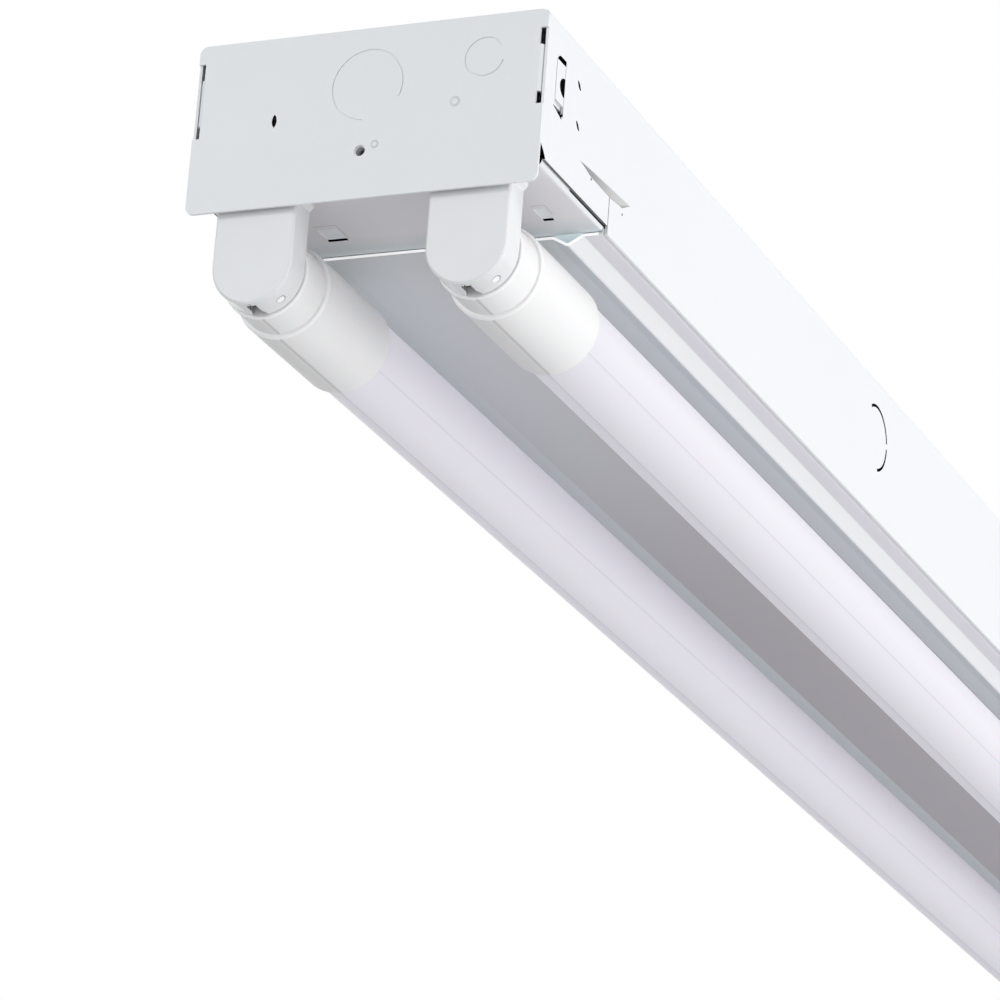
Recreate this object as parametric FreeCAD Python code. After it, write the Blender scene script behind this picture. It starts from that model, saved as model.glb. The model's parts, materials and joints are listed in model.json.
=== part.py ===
"""Two-lamp strip light for a workshop ceiling, built as its real pieces.

The housing is an open channel of bent sheet steel that hangs with its back to the ceiling. A ribbed
cover closes it from below, an end plate snaps into each end, and a bracket beside each end plate
carries two lampholders. Two tube lamps with bi-pin caps lie between the lampholders. Each lamp
turns a quarter turn about its own axis, with the rotors of its two lampholders, to be released.

Frame: millimetres, +Z up, +Y along the light, +X across it. The origin is the centre of the face
that meets the ceiling, so the whole light lies at or below Z = 0. Pieces near an end are drawn with
Y = 0 on the outside of the end plate and +Y towards the middle of the light, then put in place.
"""
import FreeCAD, Part
import os
from math import asin, cos, degrees, pi, radians, sin, sqrt, tan

Vector = FreeCAD.Vector

# ---------------------------------------------------------------- lamps and their spacing
LAMP_LENGTH = 1198.0          # base face to base face
LAMP_SPACING = 65.6           # between the two lamp axes
LAMP_DEPTH = 67.9             # ceiling face to lamp axis
TUBE_RADIUS = 13.0
TUBE_WALL = 1.2
CAP_RADIUS = 14.4
CAP_LENGTH = 55.5             # base face to the open end of the cap
COLLAR_RADIUS = 13.1          # narrower first part of the cap, beside the lampholder
COLLAR_LENGTH = 12.0
TUBE_STOP = 1.5               # from the collar's end to the end of the tube inside the cap
TUBE_FIT = 0.1                # gap between the tube and the sleeve of its cap
PIN_RADIUS = 1.2
PIN_FLATS = 12
PIN_SPACING = 12.7
PIN_LENGTH = 7.0              # out of the base face

# ---------------------------------------------------------------- inside a lamp
RAIL_GAP = 0.3                # heat sink rail to tube
RAIL_WALL = 1.0
RAIL_WEB = 1.2
RAIL_WEB_HEIGHT = 3.0         # underside of the web above the lamp axis
RAIL_SETBACK = 3.0            # from the end of the tube to the end of the rail
BOARD_WIDTH = 10.0
BOARD_THICKNESS = 1.2
CHIP_SIZE = 2.8
CHIP_LENGTH = 3.5
CHIP_HEIGHT = 0.7
CHIP_COUNT = 12
DRIVER_WIDTH = 15.0
DRIVER_LENGTH = 150.0
DRIVER_START = 6.0            # from the end of the rail
DRIVER_BOARD = 1.2
DRIVER_COIL = 9.0             # width of the coil, and half of its length
DRIVER_COIL_HEIGHT = 3.6
CAPACITOR_RADIUS = 2.0
CAPACITOR_LENGTH = 14.0
CAPACITOR_START = 30.0        # from the end of the board

# ---------------------------------------------------------------- sheet steel
SHEET = 0.8
BEND = 0.8                    # inside radius of every bend
SHEET_FIT = 0.2               # gap between sheets that slide into each other
HOUSING_WIDTH = 108.0
HOUSING_DEPTH = 46.8          # ceiling face to the flat underside of the cover

# cover
COVER_FLANGE = 10.8
COVER_SETBACK = 52.0          # outside of the end plate to the end of the cover
COVER_RELIEF = 0.6            # from the wall's tongue to the cover's shortened flange
RIB_INSET = 11.9              # side of the housing to the apex of a rib
RIB_WIDTH = 9.6
RIB_DEPTH = 2.7

# ends of the side walls
WALL_TRIM = 2.4               # the wall's bottom edge is this much higher beside the bracket
WALL_TRIM_LENGTH = 54.9
WALL_CORNER = 8.0
TONGUE_START = 26.5
TONGUE_INSET = 1.9            # how far the tongue's free end is pressed in
TONGUE_SLIT = 0.4
RAMP_TOP = 31.6               # below the ceiling face, where the wall starts to lean in
RAMP_BOTTOM = 35.2            # where the tongue starts
RAMP_END = 71.0               # the ramp goes on past the tongue, behind the wall
RAMP_LAP = 0.2                # how far the ramp runs into the wall above and the tongue below
SNAP_SLOT_START = 8.0
SNAP_SLOT_END = 17.2
SNAP_SLOT_TOP = 10.0
SNAP_SLOT_BOTTOM = 27.2
SNAP_SLOT_CORNER = 3.0
LANCE_PLACE = 26.8
LANCE_DEPTHS = (12.4, 24.9)
LANCE_WIDTH = 0.9
LANCE_HEIGHT = 2.2

# knockouts
KNOCKOUT_RADIUS = 11.1
KNOCKOUT_SLIT = 0.35
KNOCKOUT_TIE = 24.0           # degrees of metal left at each of the two ties
SIDE_KNOCKOUT_PLACE = 300.6
SIDE_KNOCKOUT_DEPTH = 20.2

# ceiling fixings
CEILING_SLOT_SPACING = 1066.8
CEILING_SLOT_RADIUS = 3.2
CEILING_SLOT_LENGTH = 20.0
HANGER_SPACING_X = 76.2
HANGER_SPACING_Y = 1016.0
HANGER_HOLE_RADIUS = 3.0

# end plate
PLATE_DROP = 5.6              # how far it hangs below the cover
PLATE_CORNER = 2.5
TAB_TOP = 10.7
TAB_BOTTOM = 25.0
TAB_REACH = 24.0
RELIEF_HEIGHT_TOP = 5.1
RELIEF_HEIGHT_BOTTOM = 4.0
RELIEF_DEPTH = 2.2
BOSS_START = 8.4
BOSS_END = 14.4
BOSS_MARGIN = 1.0             # top and bottom of the tab to the boss
TAB_SLOT_END = 16.8           # a slot beside the boss, from the outside of the plate
TAB_SLOT_TOP = 15.2
TAB_SLOT_BOTTOM = 20.8
GROOVE_DEPTH = 0.3
GROOVE_WIDTH = 0.5
PLATE_KNOCKOUT_DEPTH = 17.7
SMALL_KNOCKOUT = (35.4, 12.9)
SMALL_KNOCKOUT_RADIUS = 6.1
LENS_HOLE = (-28.4, 25.9)
LENS_WIDTH = 1.5
LENS_HEIGHT = 4.2
SCREW_HOLE = (-0.9, 37.8)
SCREW_HOLE_RADIUS = 1.7

# bracket that carries the lampholders
BRACKET_REACH = 60.0
BRACKET_GAP = 0.3             # bracket to end plate
BRACKET_FLANGE_START = 4.0
BRACKET_FLANGE_TOP = 27.0     # below the ceiling face
BRACKET_STEP = 25.5           # where the flange ends, just before the wall's tongue
BRACKET_LIP_GAP = 0.3         # from the rest of the bend to the tongue above it
BRACKET_SLIT_OFFSET = 7.75    # from the lamp axis
BRACKET_SLIT_PLACE = 41.0
BRACKET_SLIT_LENGTHS = {"left": 6.2, "right": 3.2}
BRACKET_SLIT_WIDTH = 0.9
EMBOSS_LENGTH = 7.6
EMBOSS_DEPTH = 0.3

# ---------------------------------------------------------------- lampholder
HOLDER_SETBACK = 1.8          # inside of the end plate to the holder's front face
HOLDER_THICKNESS = 9.1
LAMP_GAP = 0.3                # holder to the lamp's base face, at each end
HOLDER_RADIUS = 12.4
HOLDER_BEVEL = 0.6
HOLDER_SEAT_GAP = 0.3         # shoulder to bracket, and groove to bracket, above and below
SHOULDER_FLARE = 1.2
SHOULDER_HEIGHT = 2.6
NECK_HALF_WIDTH = 9.5
NECK_FIT = 0.1
HEAD_HALF_WIDTH = 11.0
HEAD_HEIGHT = 7.8
ROTOR_RADIUS = 7.6
ROTOR_FIT = 0.1               # running gap round the rotor, in front of it and behind it
ROTOR_WEB = 0.8
ROTOR_SLOT_GAP = 0.15         # pin to the side of the rotor's slot
ENTRY_WIDTH = 3.2             # way in for the pins, from below
MOUTH_HALF_WIDTH = 2.8
MOUTH_DEPTH = 2.6
CONTACT_THICKNESS = 0.4
CONTACT_WIDTH = 3.0
CONTACT_FOOT = 3.0            # contact below the lamp axis
CONTACT_GAP = 0.3             # contact to pocket, to rotor and to turning pin
PIN_TIP_GAP = 0.3             # pin to the floor of the rotor's slot
LEAD_GAP = 0.15               # lead to its hole
LEAD_DEPTH = 5.0              # lead in its hole

# ---------------------------------------------------------------- wiring
LEAD_RADIUS = 1.1
LEAD_FLATS = 6
LEAD_ARC_SHARE = 0.45
BEND_STEPS = 5                # straight runs in each bend
LEAD_STRAIGHT = 40.0          # from the last bend's corner to the terminal block
BLOCK_START = 150.0           # outside of the near end plate to the terminal block
BLOCK_LENGTH = 26.0
BLOCK_WIDTH = 34.0
BLOCK_HEIGHT = 14.0
BLOCK_PITCH = 6.4
EARTH_SCREW = (30.0, 205.0)   # across, and from the near end plate
EARTH_SHANK_RADIUS = 2.0
EARTH_HEAD_RADIUS = 4.2
EARTH_HEAD_HEIGHT = 2.6
EARTH_RING_RADIUS = 4.4
EARTH_RING_THICKNESS = 0.8
EARTH_RING_FLATS = 12
EARTH_STRAIGHT = 15.0         # straight run of the earth lead at each end

# ---------------------------------------------------------------- worked out from the sizes above
END_REACH = SHEET + HOLDER_SETBACK + HOLDER_THICKNESS + LAMP_GAP    # end plate to base face
LIGHT_LENGTH = LAMP_LENGTH + 2 * END_REACH
HALF_WIDTH = HOUSING_WIDTH / 2
INNER_FACE = HALF_WIDTH - SHEET                 # inside of a side wall
NESTED_FACE = INNER_FACE - SHEET_FIT            # outside of a flange that lies inside the wall
HOLDER_FRONT = SHEET + HOLDER_SETBACK
HOLDER_BACK = HOLDER_FRONT + HOLDER_THICKNESS
BRACKET_UNDER = HOUSING_DEPTH - SHEET - SHEET_FIT    # ceiling face to the bracket's underside
BRACKET_OVER = BRACKET_UNDER - SHEET
SHOULDER_TOP = LAMP_DEPTH - BRACKET_UNDER - HOLDER_SEAT_GAP   # above the lamp axis
GROOVE_TOP = LAMP_DEPTH - BRACKET_OVER + HOLDER_SEAT_GAP
HEAD_TOP = GROOVE_TOP + HEAD_HEIGHT
PIN_REACH = PIN_SPACING / 2 + PIN_RADIUS        # furthest a pin gets from the lamp axis
CONTACT_FACE = max(ROTOR_RADIUS, PIN_REACH) + CONTACT_GAP
PIN_TIP_PLACE = END_REACH - PIN_LENGTH
ROTOR_FLOOR = PIN_TIP_PLACE - PIN_TIP_GAP
ROTOR_FRONT = ROTOR_FLOOR - ROTOR_WEB
ROTOR_BACK = HOLDER_BACK - ROTOR_FIT
CONTACT_START = PIN_TIP_PLACE + PIN_TIP_GAP
LEAD_PLACE = CONTACT_FACE - NECK_FIT - LEAD_RADIUS   # lead beside its contact
LEAD_Y = CONTACT_START + CONTACT_WIDTH / 2
RAIL_RADIUS = TUBE_RADIUS - TUBE_WALL - RAIL_GAP
TUBE_START = END_REACH + COLLAR_LENGTH + TUBE_STOP
RAIL_START = TUBE_START + RAIL_SETBACK
SIDES = {"left": -LAMP_SPACING / 2, "right": LAMP_SPACING / 2}
ENDS = ("near", "far")


# ---------------------------------------------------------------- drawing helpers
def in_xz(x, z):
    """A point of an outline across the light."""
    return Vector(x, 0, z)


def in_yz(y, z):
    """A point of an outline on a side wall."""
    return Vector(0, y, z)


def in_xy(x, y):
    """A point of an outline seen from above."""
    return Vector(x, y, 0)


def face_of(corners, plane):
    """A flat face from corners (a, b, radius), each corner rounded by its radius."""
    edges = []
    count = len(corners)
    joints = []
    for i, (a, b, radius) in enumerate(corners):
        before, after = corners[i - 1], corners[(i + 1) % count]
        back = Vector(before[0] - a, before[1] - b, 0)
        ahead = Vector(after[0] - a, after[1] - b, 0)
        back.normalize()
        ahead.normalize()
        here = Vector(a, b, 0)
        if not radius:
            joints.append((here, None, here))
            continue
        half = back.getAngle(ahead) / 2
        run = radius / tan(half)
        middle = back + ahead
        middle.normalize()
        centre = here + middle * (radius / sin(half))
        joints.append((here + back * run, centre - middle * radius, here + ahead * run))
    for i, (start, top, stop) in enumerate(joints):
        if top is not None:
            arc = [plane(p.x, p.y) for p in (start, top, stop)]
            edges.append(Part.Arc(*arc).toShape())
        following = joints[(i + 1) % count][0]
        if (following - stop).Length > 1e-6:
            ends = [plane(p.x, p.y) for p in (stop, following)]
            edges.append(Part.LineSegment(*ends).toShape())
    return Part.Face(Part.Wire(edges))


def bent_sheet(line, plane):
    """The section of a bent sheet: `line` is one face, the other lies to the line's left.

    Both faces of a bend get arcs about one centre, with BEND as the radius on the inside.
    """
    points = [Vector(a, b, 0) for a, b in line]
    ways = []
    for start, stop in zip(points, points[1:]):
        way = stop - start
        way.normalize()
        ways.append(way)
    normals = [Vector(-way.y, way.x, 0) for way in ways]
    last = len(points) - 1
    front, rear = [], []
    for i, point in enumerate(points):
        before, after = normals[max(i - 1, 0)], normals[min(i, last - 1)]
        mitre = (before + after) * (SHEET / (1 + before.dot(after)))
        turn = 0.0 if i in (0, last) else ways[i - 1].cross(ways[i]).z
        near_radius = BEND + SHEET if turn > 0 else BEND
        far_radius = BEND if turn > 0 else BEND + SHEET
        bent = abs(turn) > 1e-9
        other = point + mitre
        front.append((point.x, point.y, near_radius if bent else 0))
        rear.append((other.x, other.y, far_radius if bent else 0))
    return face_of(front + rear[::-1], plane)


def box(x, y, z):
    """A box from three (low, high) pairs."""
    low = Vector(min(x), min(y), min(z))
    return Part.makeBox(abs(x[1] - x[0]), abs(y[1] - y[0]), abs(z[1] - z[0]), low)


def rod(radius, start, stop):
    """A cylinder from one point to another."""
    way = stop - start
    return Part.makeCylinder(radius, way.Length, start, way)


def plate_of(corners, plane, start, way):
    """A flat outline moved to `start` and given its thickness by the vector `way`."""
    return face_of(corners, plane).translated(start).extrude(way)


def rectangle(a, b, radius=0.0):
    """The corners of a rectangle from two (low, high) pairs."""
    return [(a[0], b[0], radius), (a[1], b[0], radius), (a[1], b[1], radius), (a[0], b[1], radius)]


def ring_sector(outer, inner, first, last, plane):
    """A face between two circles, from one angle in degrees to another."""
    def point(radius, angle):
        return plane(radius * cos(radians(angle)), radius * sin(radians(angle)))
    middle = (first + last) / 2
    outside = Part.Arc(*[point(outer, a) for a in (first, middle, last)]).toShape()
    inside = Part.Arc(*[point(inner, a) for a in (last, middle, first)]).toShape()
    closing = [Part.LineSegment(point(outer, last), point(inner, last)).toShape(),
               Part.LineSegment(point(inner, first), point(outer, first)).toShape()]
    return Part.Face(Part.Wire([outside, closing[0], inside, closing[1]]))


def joined(shapes):
    """One solid from several that touch or overlap."""
    whole = shapes[0].fuse(shapes[1:]) if len(shapes) > 1 else shapes[0]
    return whole.removeSplitter()


def mirrored(shape, x_sign, y_sign):
    """The shape, mirrored across the light, along it, or both."""
    if x_sign < 0:
        shape = shape.mirror(Vector(0, 0, 0), Vector(1, 0, 0))
    if y_sign < 0:
        shape = shape.mirror(Vector(0, 0, 0), Vector(0, 1, 0))
    return shape


def at_end(shape, end, x=0.0):
    """Put a piece drawn from the outside of the end plate at the near or the far end.

    Both ends use the same pieces, so the far ones are turned half a turn about the vertical.
    """
    if end == "far":
        turned = shape.rotated(Vector(0, 0, 0), Vector(0, 0, 1), 180)
        return turned.translated(Vector(x, LIGHT_LENGTH / 2, 0))
    return shape.translated(Vector(x, -LIGHT_LENGTH / 2, 0))


def at_both_ends(shape, x):
    """The same piece at both ends, as one node of two solids."""
    return Part.makeCompound([at_end(shape, end, x) for end in ENDS])


def about_lamp(shape):
    """Move a piece drawn about the lamp axis down to the lamp's depth."""
    return shape.translated(Vector(0, 0, -LAMP_DEPTH))


def save(node, shape):
    """Write one piece, after checking that it is sound."""
    if not shape.isValid() or shape.Volume <= 0:
        raise ValueError(node + " is not a sound solid")
    shape.exportStep("parts/" + node + ".step")
    print(f"{node:34s} {len(shape.Solids):3d} solids  {shape.Volume / 1000:9.3f} cm3")


# ---------------------------------------------------------------- housing channel
def knockout_slits(plane, start, way, tie_angle):
    """Two curved slits round a knockout, with a tie at tie_angle and one opposite."""
    slits = []
    inner = KNOCKOUT_RADIUS - KNOCKOUT_SLIT
    for turn in (0, 180):
        first = tie_angle + KNOCKOUT_TIE / 2 + turn
        last = tie_angle - KNOCKOUT_TIE / 2 + turn + 180
        sector = ring_sector(KNOCKOUT_RADIUS, inner, first, last, plane)
        slits.append(sector.translated(start).extrude(way))
    return slits


def wall_end_cuts():
    """What is cut from the +X side wall beside the near end, from the outside of the end plate."""
    x = INNER_FACE - BEND
    through = Vector(HALF_WIDTH + 1 - x, 0, 0)
    start = Vector(x, 0, 0)
    edge = -(HOUSING_DEPTH - WALL_TRIM)
    below = -(HOUSING_DEPTH + 1)
    corner = edge + WALL_CORNER
    cuts = [
        plate_of(rectangle((-1, WALL_TRIM_LENGTH), (below, edge)), in_yz, start, through),
        plate_of(rectangle((WALL_TRIM_LENGTH - TONGUE_SLIT, WALL_TRIM_LENGTH),
                           (below, -RAMP_TOP)), in_yz, start, through),
        plate_of(rectangle((TONGUE_START, RAMP_END), (-RAMP_BOTTOM, -RAMP_TOP)),
                 in_yz, start, through),
        plate_of(rectangle((TONGUE_START, WALL_TRIM_LENGTH), (edge - 1, -RAMP_TOP)),
                 in_yz, start, through),
        plate_of(rectangle((SNAP_SLOT_START, SNAP_SLOT_END),
                           (-SNAP_SLOT_BOTTOM, -SNAP_SLOT_TOP), SNAP_SLOT_CORNER),
                 in_yz, start, through),
    ]
    square = box((x, HALF_WIDTH + 1), (-1, SHEET + WALL_CORNER), (edge - 1, corner))
    round_part = rod(WALL_CORNER, Vector(x - 1, SHEET + WALL_CORNER, corner),
                     Vector(HALF_WIDTH + 2, SHEET + WALL_CORNER, corner))
    cuts.append(square.cut(round_part))
    for depth in LANCE_DEPTHS:
        cuts.append(box((x, HALF_WIDTH + 1),
                        (LANCE_PLACE - LANCE_WIDTH / 2, LANCE_PLACE + LANCE_WIDTH / 2),
                        (-depth - LANCE_HEIGHT / 2, -depth + LANCE_HEIGHT / 2)))
    return cuts


def side_knockout():
    """The slits of the knockout in the +X side wall, from the outside of the near end plate."""
    x = INNER_FACE - BEND
    centre = Vector(x, SIDE_KNOCKOUT_PLACE, -SIDE_KNOCKOUT_DEPTH)
    return knockout_slits(in_yz, centre, Vector(HALF_WIDTH + 1 - x, 0, 0), -20)


def wall_tongue():
    """The tongue beside the bracket, pressed in at its free end, and the ramp above it.

    The ramp leans in from the wall's outside to the tongue's, so it starts flat at the tongue's
    near end and leans more and more towards its own far end.
    """
    length = WALL_TRIM_LENGTH - TONGUE_SLIT - TONGUE_START
    edge = -(HOUSING_DEPTH - WALL_TRIM)
    lean = asin(TONGUE_INSET / length)
    blade = box((INNER_FACE, HALF_WIDTH), (TONGUE_START, TONGUE_START + length),
                (edge, -RAMP_BOTTOM))
    hinge = Vector(HALF_WIDTH, TONGUE_START, 0)
    blade = blade.rotated(hinge, Vector(0, 0, 1), degrees(lean))
    wires = []
    for y in (TONGUE_START - RAMP_LAP, RAMP_END - RAMP_LAP):
        inset = max(0.0, (y - TONGUE_START) * tan(lean))
        corners = [(HALF_WIDTH, -RAMP_TOP + RAMP_LAP), (HALF_WIDTH - inset, -RAMP_BOTTOM - RAMP_LAP),
                   (INNER_FACE - inset, -RAMP_BOTTOM - RAMP_LAP), (INNER_FACE, -RAMP_TOP + RAMP_LAP)]
        points = [Vector(x, y, z) for x, z in corners]
        wires.append(Part.makePolygon(points + points[:1]))
    return blade.fuse(Part.makeLoft(wires, True, True))


def ceiling_holes():
    """Slots for ceiling screws, holes for hangers and the hole of the earth screw."""
    start = Vector(0, 0, -SHEET - BEND)
    through = Vector(0, 0, SHEET + BEND + 1)
    holes = []
    half = CEILING_SLOT_LENGTH / 2
    for y in (-CEILING_SLOT_SPACING / 2, CEILING_SLOT_SPACING / 2):
        corners = rectangle((-CEILING_SLOT_RADIUS, CEILING_SLOT_RADIUS), (y - half, y + half),
                            CEILING_SLOT_RADIUS - 1e-3)
        holes.append(plate_of(corners, in_xy, start, through))
        for x in (-HANGER_SPACING_X / 2, HANGER_SPACING_X / 2):
            place = Vector(x, HANGER_SPACING_Y / 2 * (1 if y > 0 else -1), 0)
            holes.append(rod(HANGER_HOLE_RADIUS, start + place, start + place + through))
    place = Vector(EARTH_SCREW[0], EARTH_SCREW[1] - LIGHT_LENGTH / 2, 0)
    holes.append(rod(EARTH_SHANK_RADIUS, start + place, start + place + through))
    return holes


def housing_channel():
    """Inverted U of sheet steel with its end cut-outs, tongues, knockouts and ceiling holes."""
    line = [(HALF_WIDTH, -HOUSING_DEPTH), (HALF_WIDTH, 0), (-HALF_WIDTH, 0),
            (-HALF_WIDTH, -HOUSING_DEPTH)]
    length = LIGHT_LENGTH - 2 * SHEET
    section = bent_sheet(line, in_xz).translated(Vector(0, -length / 2, 0))
    channel = section.extrude(Vector(0, length, 0))
    shift = Vector(0, -LIGHT_LENGTH / 2, 0)
    cuts = []
    tongues = []
    for x_sign in (1, -1):
        cuts += [mirrored(cut.translated(shift), x_sign, 1) for cut in side_knockout()]
        for y_sign in (1, -1):
            cuts += [mirrored(cut.translated(shift), x_sign, y_sign) for cut in wall_end_cuts()]
            tongues.append(mirrored(wall_tongue().translated(shift), x_sign, y_sign))
    return joined([channel.cut(cuts + ceiling_holes())] + tongues)


# ---------------------------------------------------------------- cover
def wireway_cover():
    """The ribbed cover, with a flange inside each side wall, cut short beside the tongues."""
    top = -(HOUSING_DEPTH - COVER_FLANGE)
    floor = -HOUSING_DEPTH
    apex = HALF_WIDTH - RIB_INSET
    half = RIB_WIDTH / 2
    right = [(apex - half, floor), (apex, floor - RIB_DEPTH), (apex + half, floor),
             (NESTED_FACE, floor), (NESTED_FACE, top)]
    left = [(-x, z) for x, z in reversed(right)]
    length = LIGHT_LENGTH - 2 * COVER_SETBACK
    section = bent_sheet(left + right, in_xz).translated(Vector(0, -length / 2, 0))
    cover = section.extrude(Vector(0, length, 0))
    cuts = []
    low = floor + WALL_TRIM - COVER_RELIEF
    inside = INNER_FACE - TONGUE_INSET - SHEET
    relief_end = LIGHT_LENGTH / 2 - WALL_TRIM_LENGTH - COVER_RELIEF
    for x_sign in (1, -1):
        for y_sign in (1, -1):
            cuts.append(box((x_sign * inside, x_sign * HALF_WIDTH),
                            (y_sign * relief_end, y_sign * LIGHT_LENGTH / 2), (low, top + 1)))
    return cover.cut(cuts)


# ---------------------------------------------------------------- end plate
def plate_tab():
    """The snap tab on the +X edge: bent back inside the wall, with a boss for the wall's slot."""
    root = NESTED_FACE - RELIEF_DEPTH - 2 * BEND
    line = [(root, 0), (NESTED_FACE, 0), (NESTED_FACE, TAB_REACH)]
    section = bent_sheet(line, in_xy).translated(Vector(0, 0, -TAB_BOTTOM))
    tab = section.extrude(Vector(0, 0, TAB_BOTTOM - TAB_TOP))
    corners = rectangle((BOSS_START, BOSS_END),
                        (-TAB_BOTTOM + BOSS_MARGIN, -TAB_TOP - BOSS_MARGIN))
    boss = plate_of(corners, in_yz, Vector(NESTED_FACE - SHEET / 2, 0, 0),
                    Vector(HALF_WIDTH - NESTED_FACE + SHEET / 2, 0, 0))
    slot = box((root, HALF_WIDTH + 1), (BOSS_END, TAB_SLOT_END), (-TAB_SLOT_BOTTOM, -TAB_SLOT_TOP))
    return tab.fuse(boss).cut(slot)


def ring_groove(x, depth, radius, first, last):
    """A coined line round a knockout of the end plate, cut into its outside."""
    sector = ring_sector(radius, radius - GROOVE_WIDTH, first, last, in_xz)
    return sector.translated(Vector(x, -1, -depth)).extrude(Vector(0, 1 + GROOVE_DEPTH, 0))


def lens_hole():
    """A pointed oval hole, the common part of two cylinders."""
    x, depth = LENS_HOLE
    radius = (LENS_HEIGHT ** 2 + LENS_WIDTH ** 2) / (4 * LENS_WIDTH)
    shift = radius - LENS_WIDTH / 2
    sides = [rod(radius, Vector(x + d, -1, -depth), Vector(x + d, SHEET + 1, -depth))
             for d in (-shift, shift)]
    return sides[0].common(sides[1])


def end_plate():
    """The end plate with its two snap tabs, knockout lines and holes."""
    bottom = -(HOUSING_DEPTH + PLATE_DROP)
    outline = rectangle((-HALF_WIDTH, HALF_WIDTH), (bottom, 0), PLATE_CORNER)
    plate = plate_of(outline, in_xz, Vector(0, 0, 0), Vector(0, SHEET, 0))
    root = NESTED_FACE - RELIEF_DEPTH - 2 * BEND
    cuts = [ring_groove(0, PLATE_KNOCKOUT_DEPTH, KNOCKOUT_RADIUS, -25, 265),
            ring_groove(*SMALL_KNOCKOUT, SMALL_KNOCKOUT_RADIUS, 35, 345), lens_hole()]
    x, depth = SCREW_HOLE
    cuts.append(rod(SCREW_HOLE_RADIUS, Vector(x, -1, -depth), Vector(x, SHEET + 1, -depth)))
    tabs = []
    for sign in (1, -1):
        edge = sign * (HALF_WIDTH + 1)
        cuts.append(box((sign * (HALF_WIDTH - RELIEF_DEPTH), edge), (-1, SHEET + 1),
                        (-TAB_TOP, -TAB_TOP + RELIEF_HEIGHT_TOP)))
        cuts.append(box((sign * (HALF_WIDTH - RELIEF_DEPTH), edge), (-1, SHEET + 1),
                        (-TAB_BOTTOM, -TAB_BOTTOM - RELIEF_HEIGHT_BOTTOM)))
        cuts.append(box((sign * root, edge), (-1, SHEET + 1), (-TAB_TOP, -TAB_BOTTOM)))
        tabs.append(mirrored(plate_tab(), sign, 1))
    return joined([plate.cut(cuts)] + tabs)


# ---------------------------------------------------------------- bracket for the lampholders
def socket_bracket():
    """The sheet that closes the end of the channel from below and carries two lampholders."""
    start = SHEET + BRACKET_GAP
    line = [(-NESTED_FACE, -BRACKET_FLANGE_TOP), (-NESTED_FACE, -BRACKET_UNDER),
            (NESTED_FACE, -BRACKET_UNDER), (NESTED_FACE, -BRACKET_FLANGE_TOP)]
    section = bent_sheet(line, in_xz).translated(Vector(0, start, 0))
    bracket = section.extrude(Vector(0, BRACKET_REACH - start, 0))
    wide = NESTED_FACE + 1
    inside = NESTED_FACE - SHEET - BEND
    over = -BRACKET_OVER + BEND
    under = -BRACKET_UNDER - 1
    lip = -(HOUSING_DEPTH - WALL_TRIM) - BRACKET_LIP_GAP
    cuts = []
    for sign in (1, -1):
        side = (sign * inside, sign * wide)
        cuts.append(box(side, (0, BRACKET_FLANGE_START), (over, 0)))
        cuts.append(box(side, (BRACKET_STEP, BRACKET_REACH + 1), (lip, 0)))
        edge = (sign * (NESTED_FACE - SHEET - 2 * SHEET_FIT), sign * wide)
        cuts.append(box(edge, (COVER_SETBACK - SHEET_FIT, BRACKET_REACH + 1), (under, 0)))
    half = NECK_HALF_WIDTH + NECK_FIT
    slit = BRACKET_SLIT_PLACE - BRACKET_SLIT_WIDTH / 2
    for side, x in SIDES.items():
        cuts.append(box((x - half, x + half), (0, HOLDER_BACK + NECK_FIT), (under, over)))
        centre = x + BRACKET_SLIT_OFFSET
        reach = BRACKET_SLIT_LENGTHS[side] / 2
        span = (centre - reach, centre + reach)
        cuts.append(box(span, (slit, slit + BRACKET_SLIT_WIDTH), (under, over)))
        cuts.append(box(span, (slit - EMBOSS_LENGTH, slit), (under, -BRACKET_UNDER + EMBOSS_DEPTH)))
    return bracket.cut(cuts)


# ---------------------------------------------------------------- lampholder
def holder_section():
    """Outline of the lampholder across the light, about the lamp axis."""
    low = SHOULDER_TOP - SHOULDER_HEIGHT
    wide = HOLDER_RADIUS + SHOULDER_FLARE
    right = [(HOLDER_RADIUS, low - SHOULDER_FLARE), (wide, low), (wide, SHOULDER_TOP),
             (NECK_HALF_WIDTH, SHOULDER_TOP), (NECK_HALF_WIDTH, GROOVE_TOP),
             (HEAD_HALF_WIDTH, GROOVE_TOP), (HEAD_HALF_WIDTH, HEAD_TOP)]
    left = [(-x, z) for x, z in reversed(right)]
    points = [in_xz(x, z) for x, z in [(HOLDER_RADIUS, 0)] + right + left + [(-HOLDER_RADIUS, 0)]]
    edges = [Part.LineSegment(a, b).toShape() for a, b in zip(points, points[1:])]
    edges.append(Part.Arc(points[-1], in_xz(0, -HOLDER_RADIUS), points[0]).toShape())
    return Part.Face(Part.Wire(edges))


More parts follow.
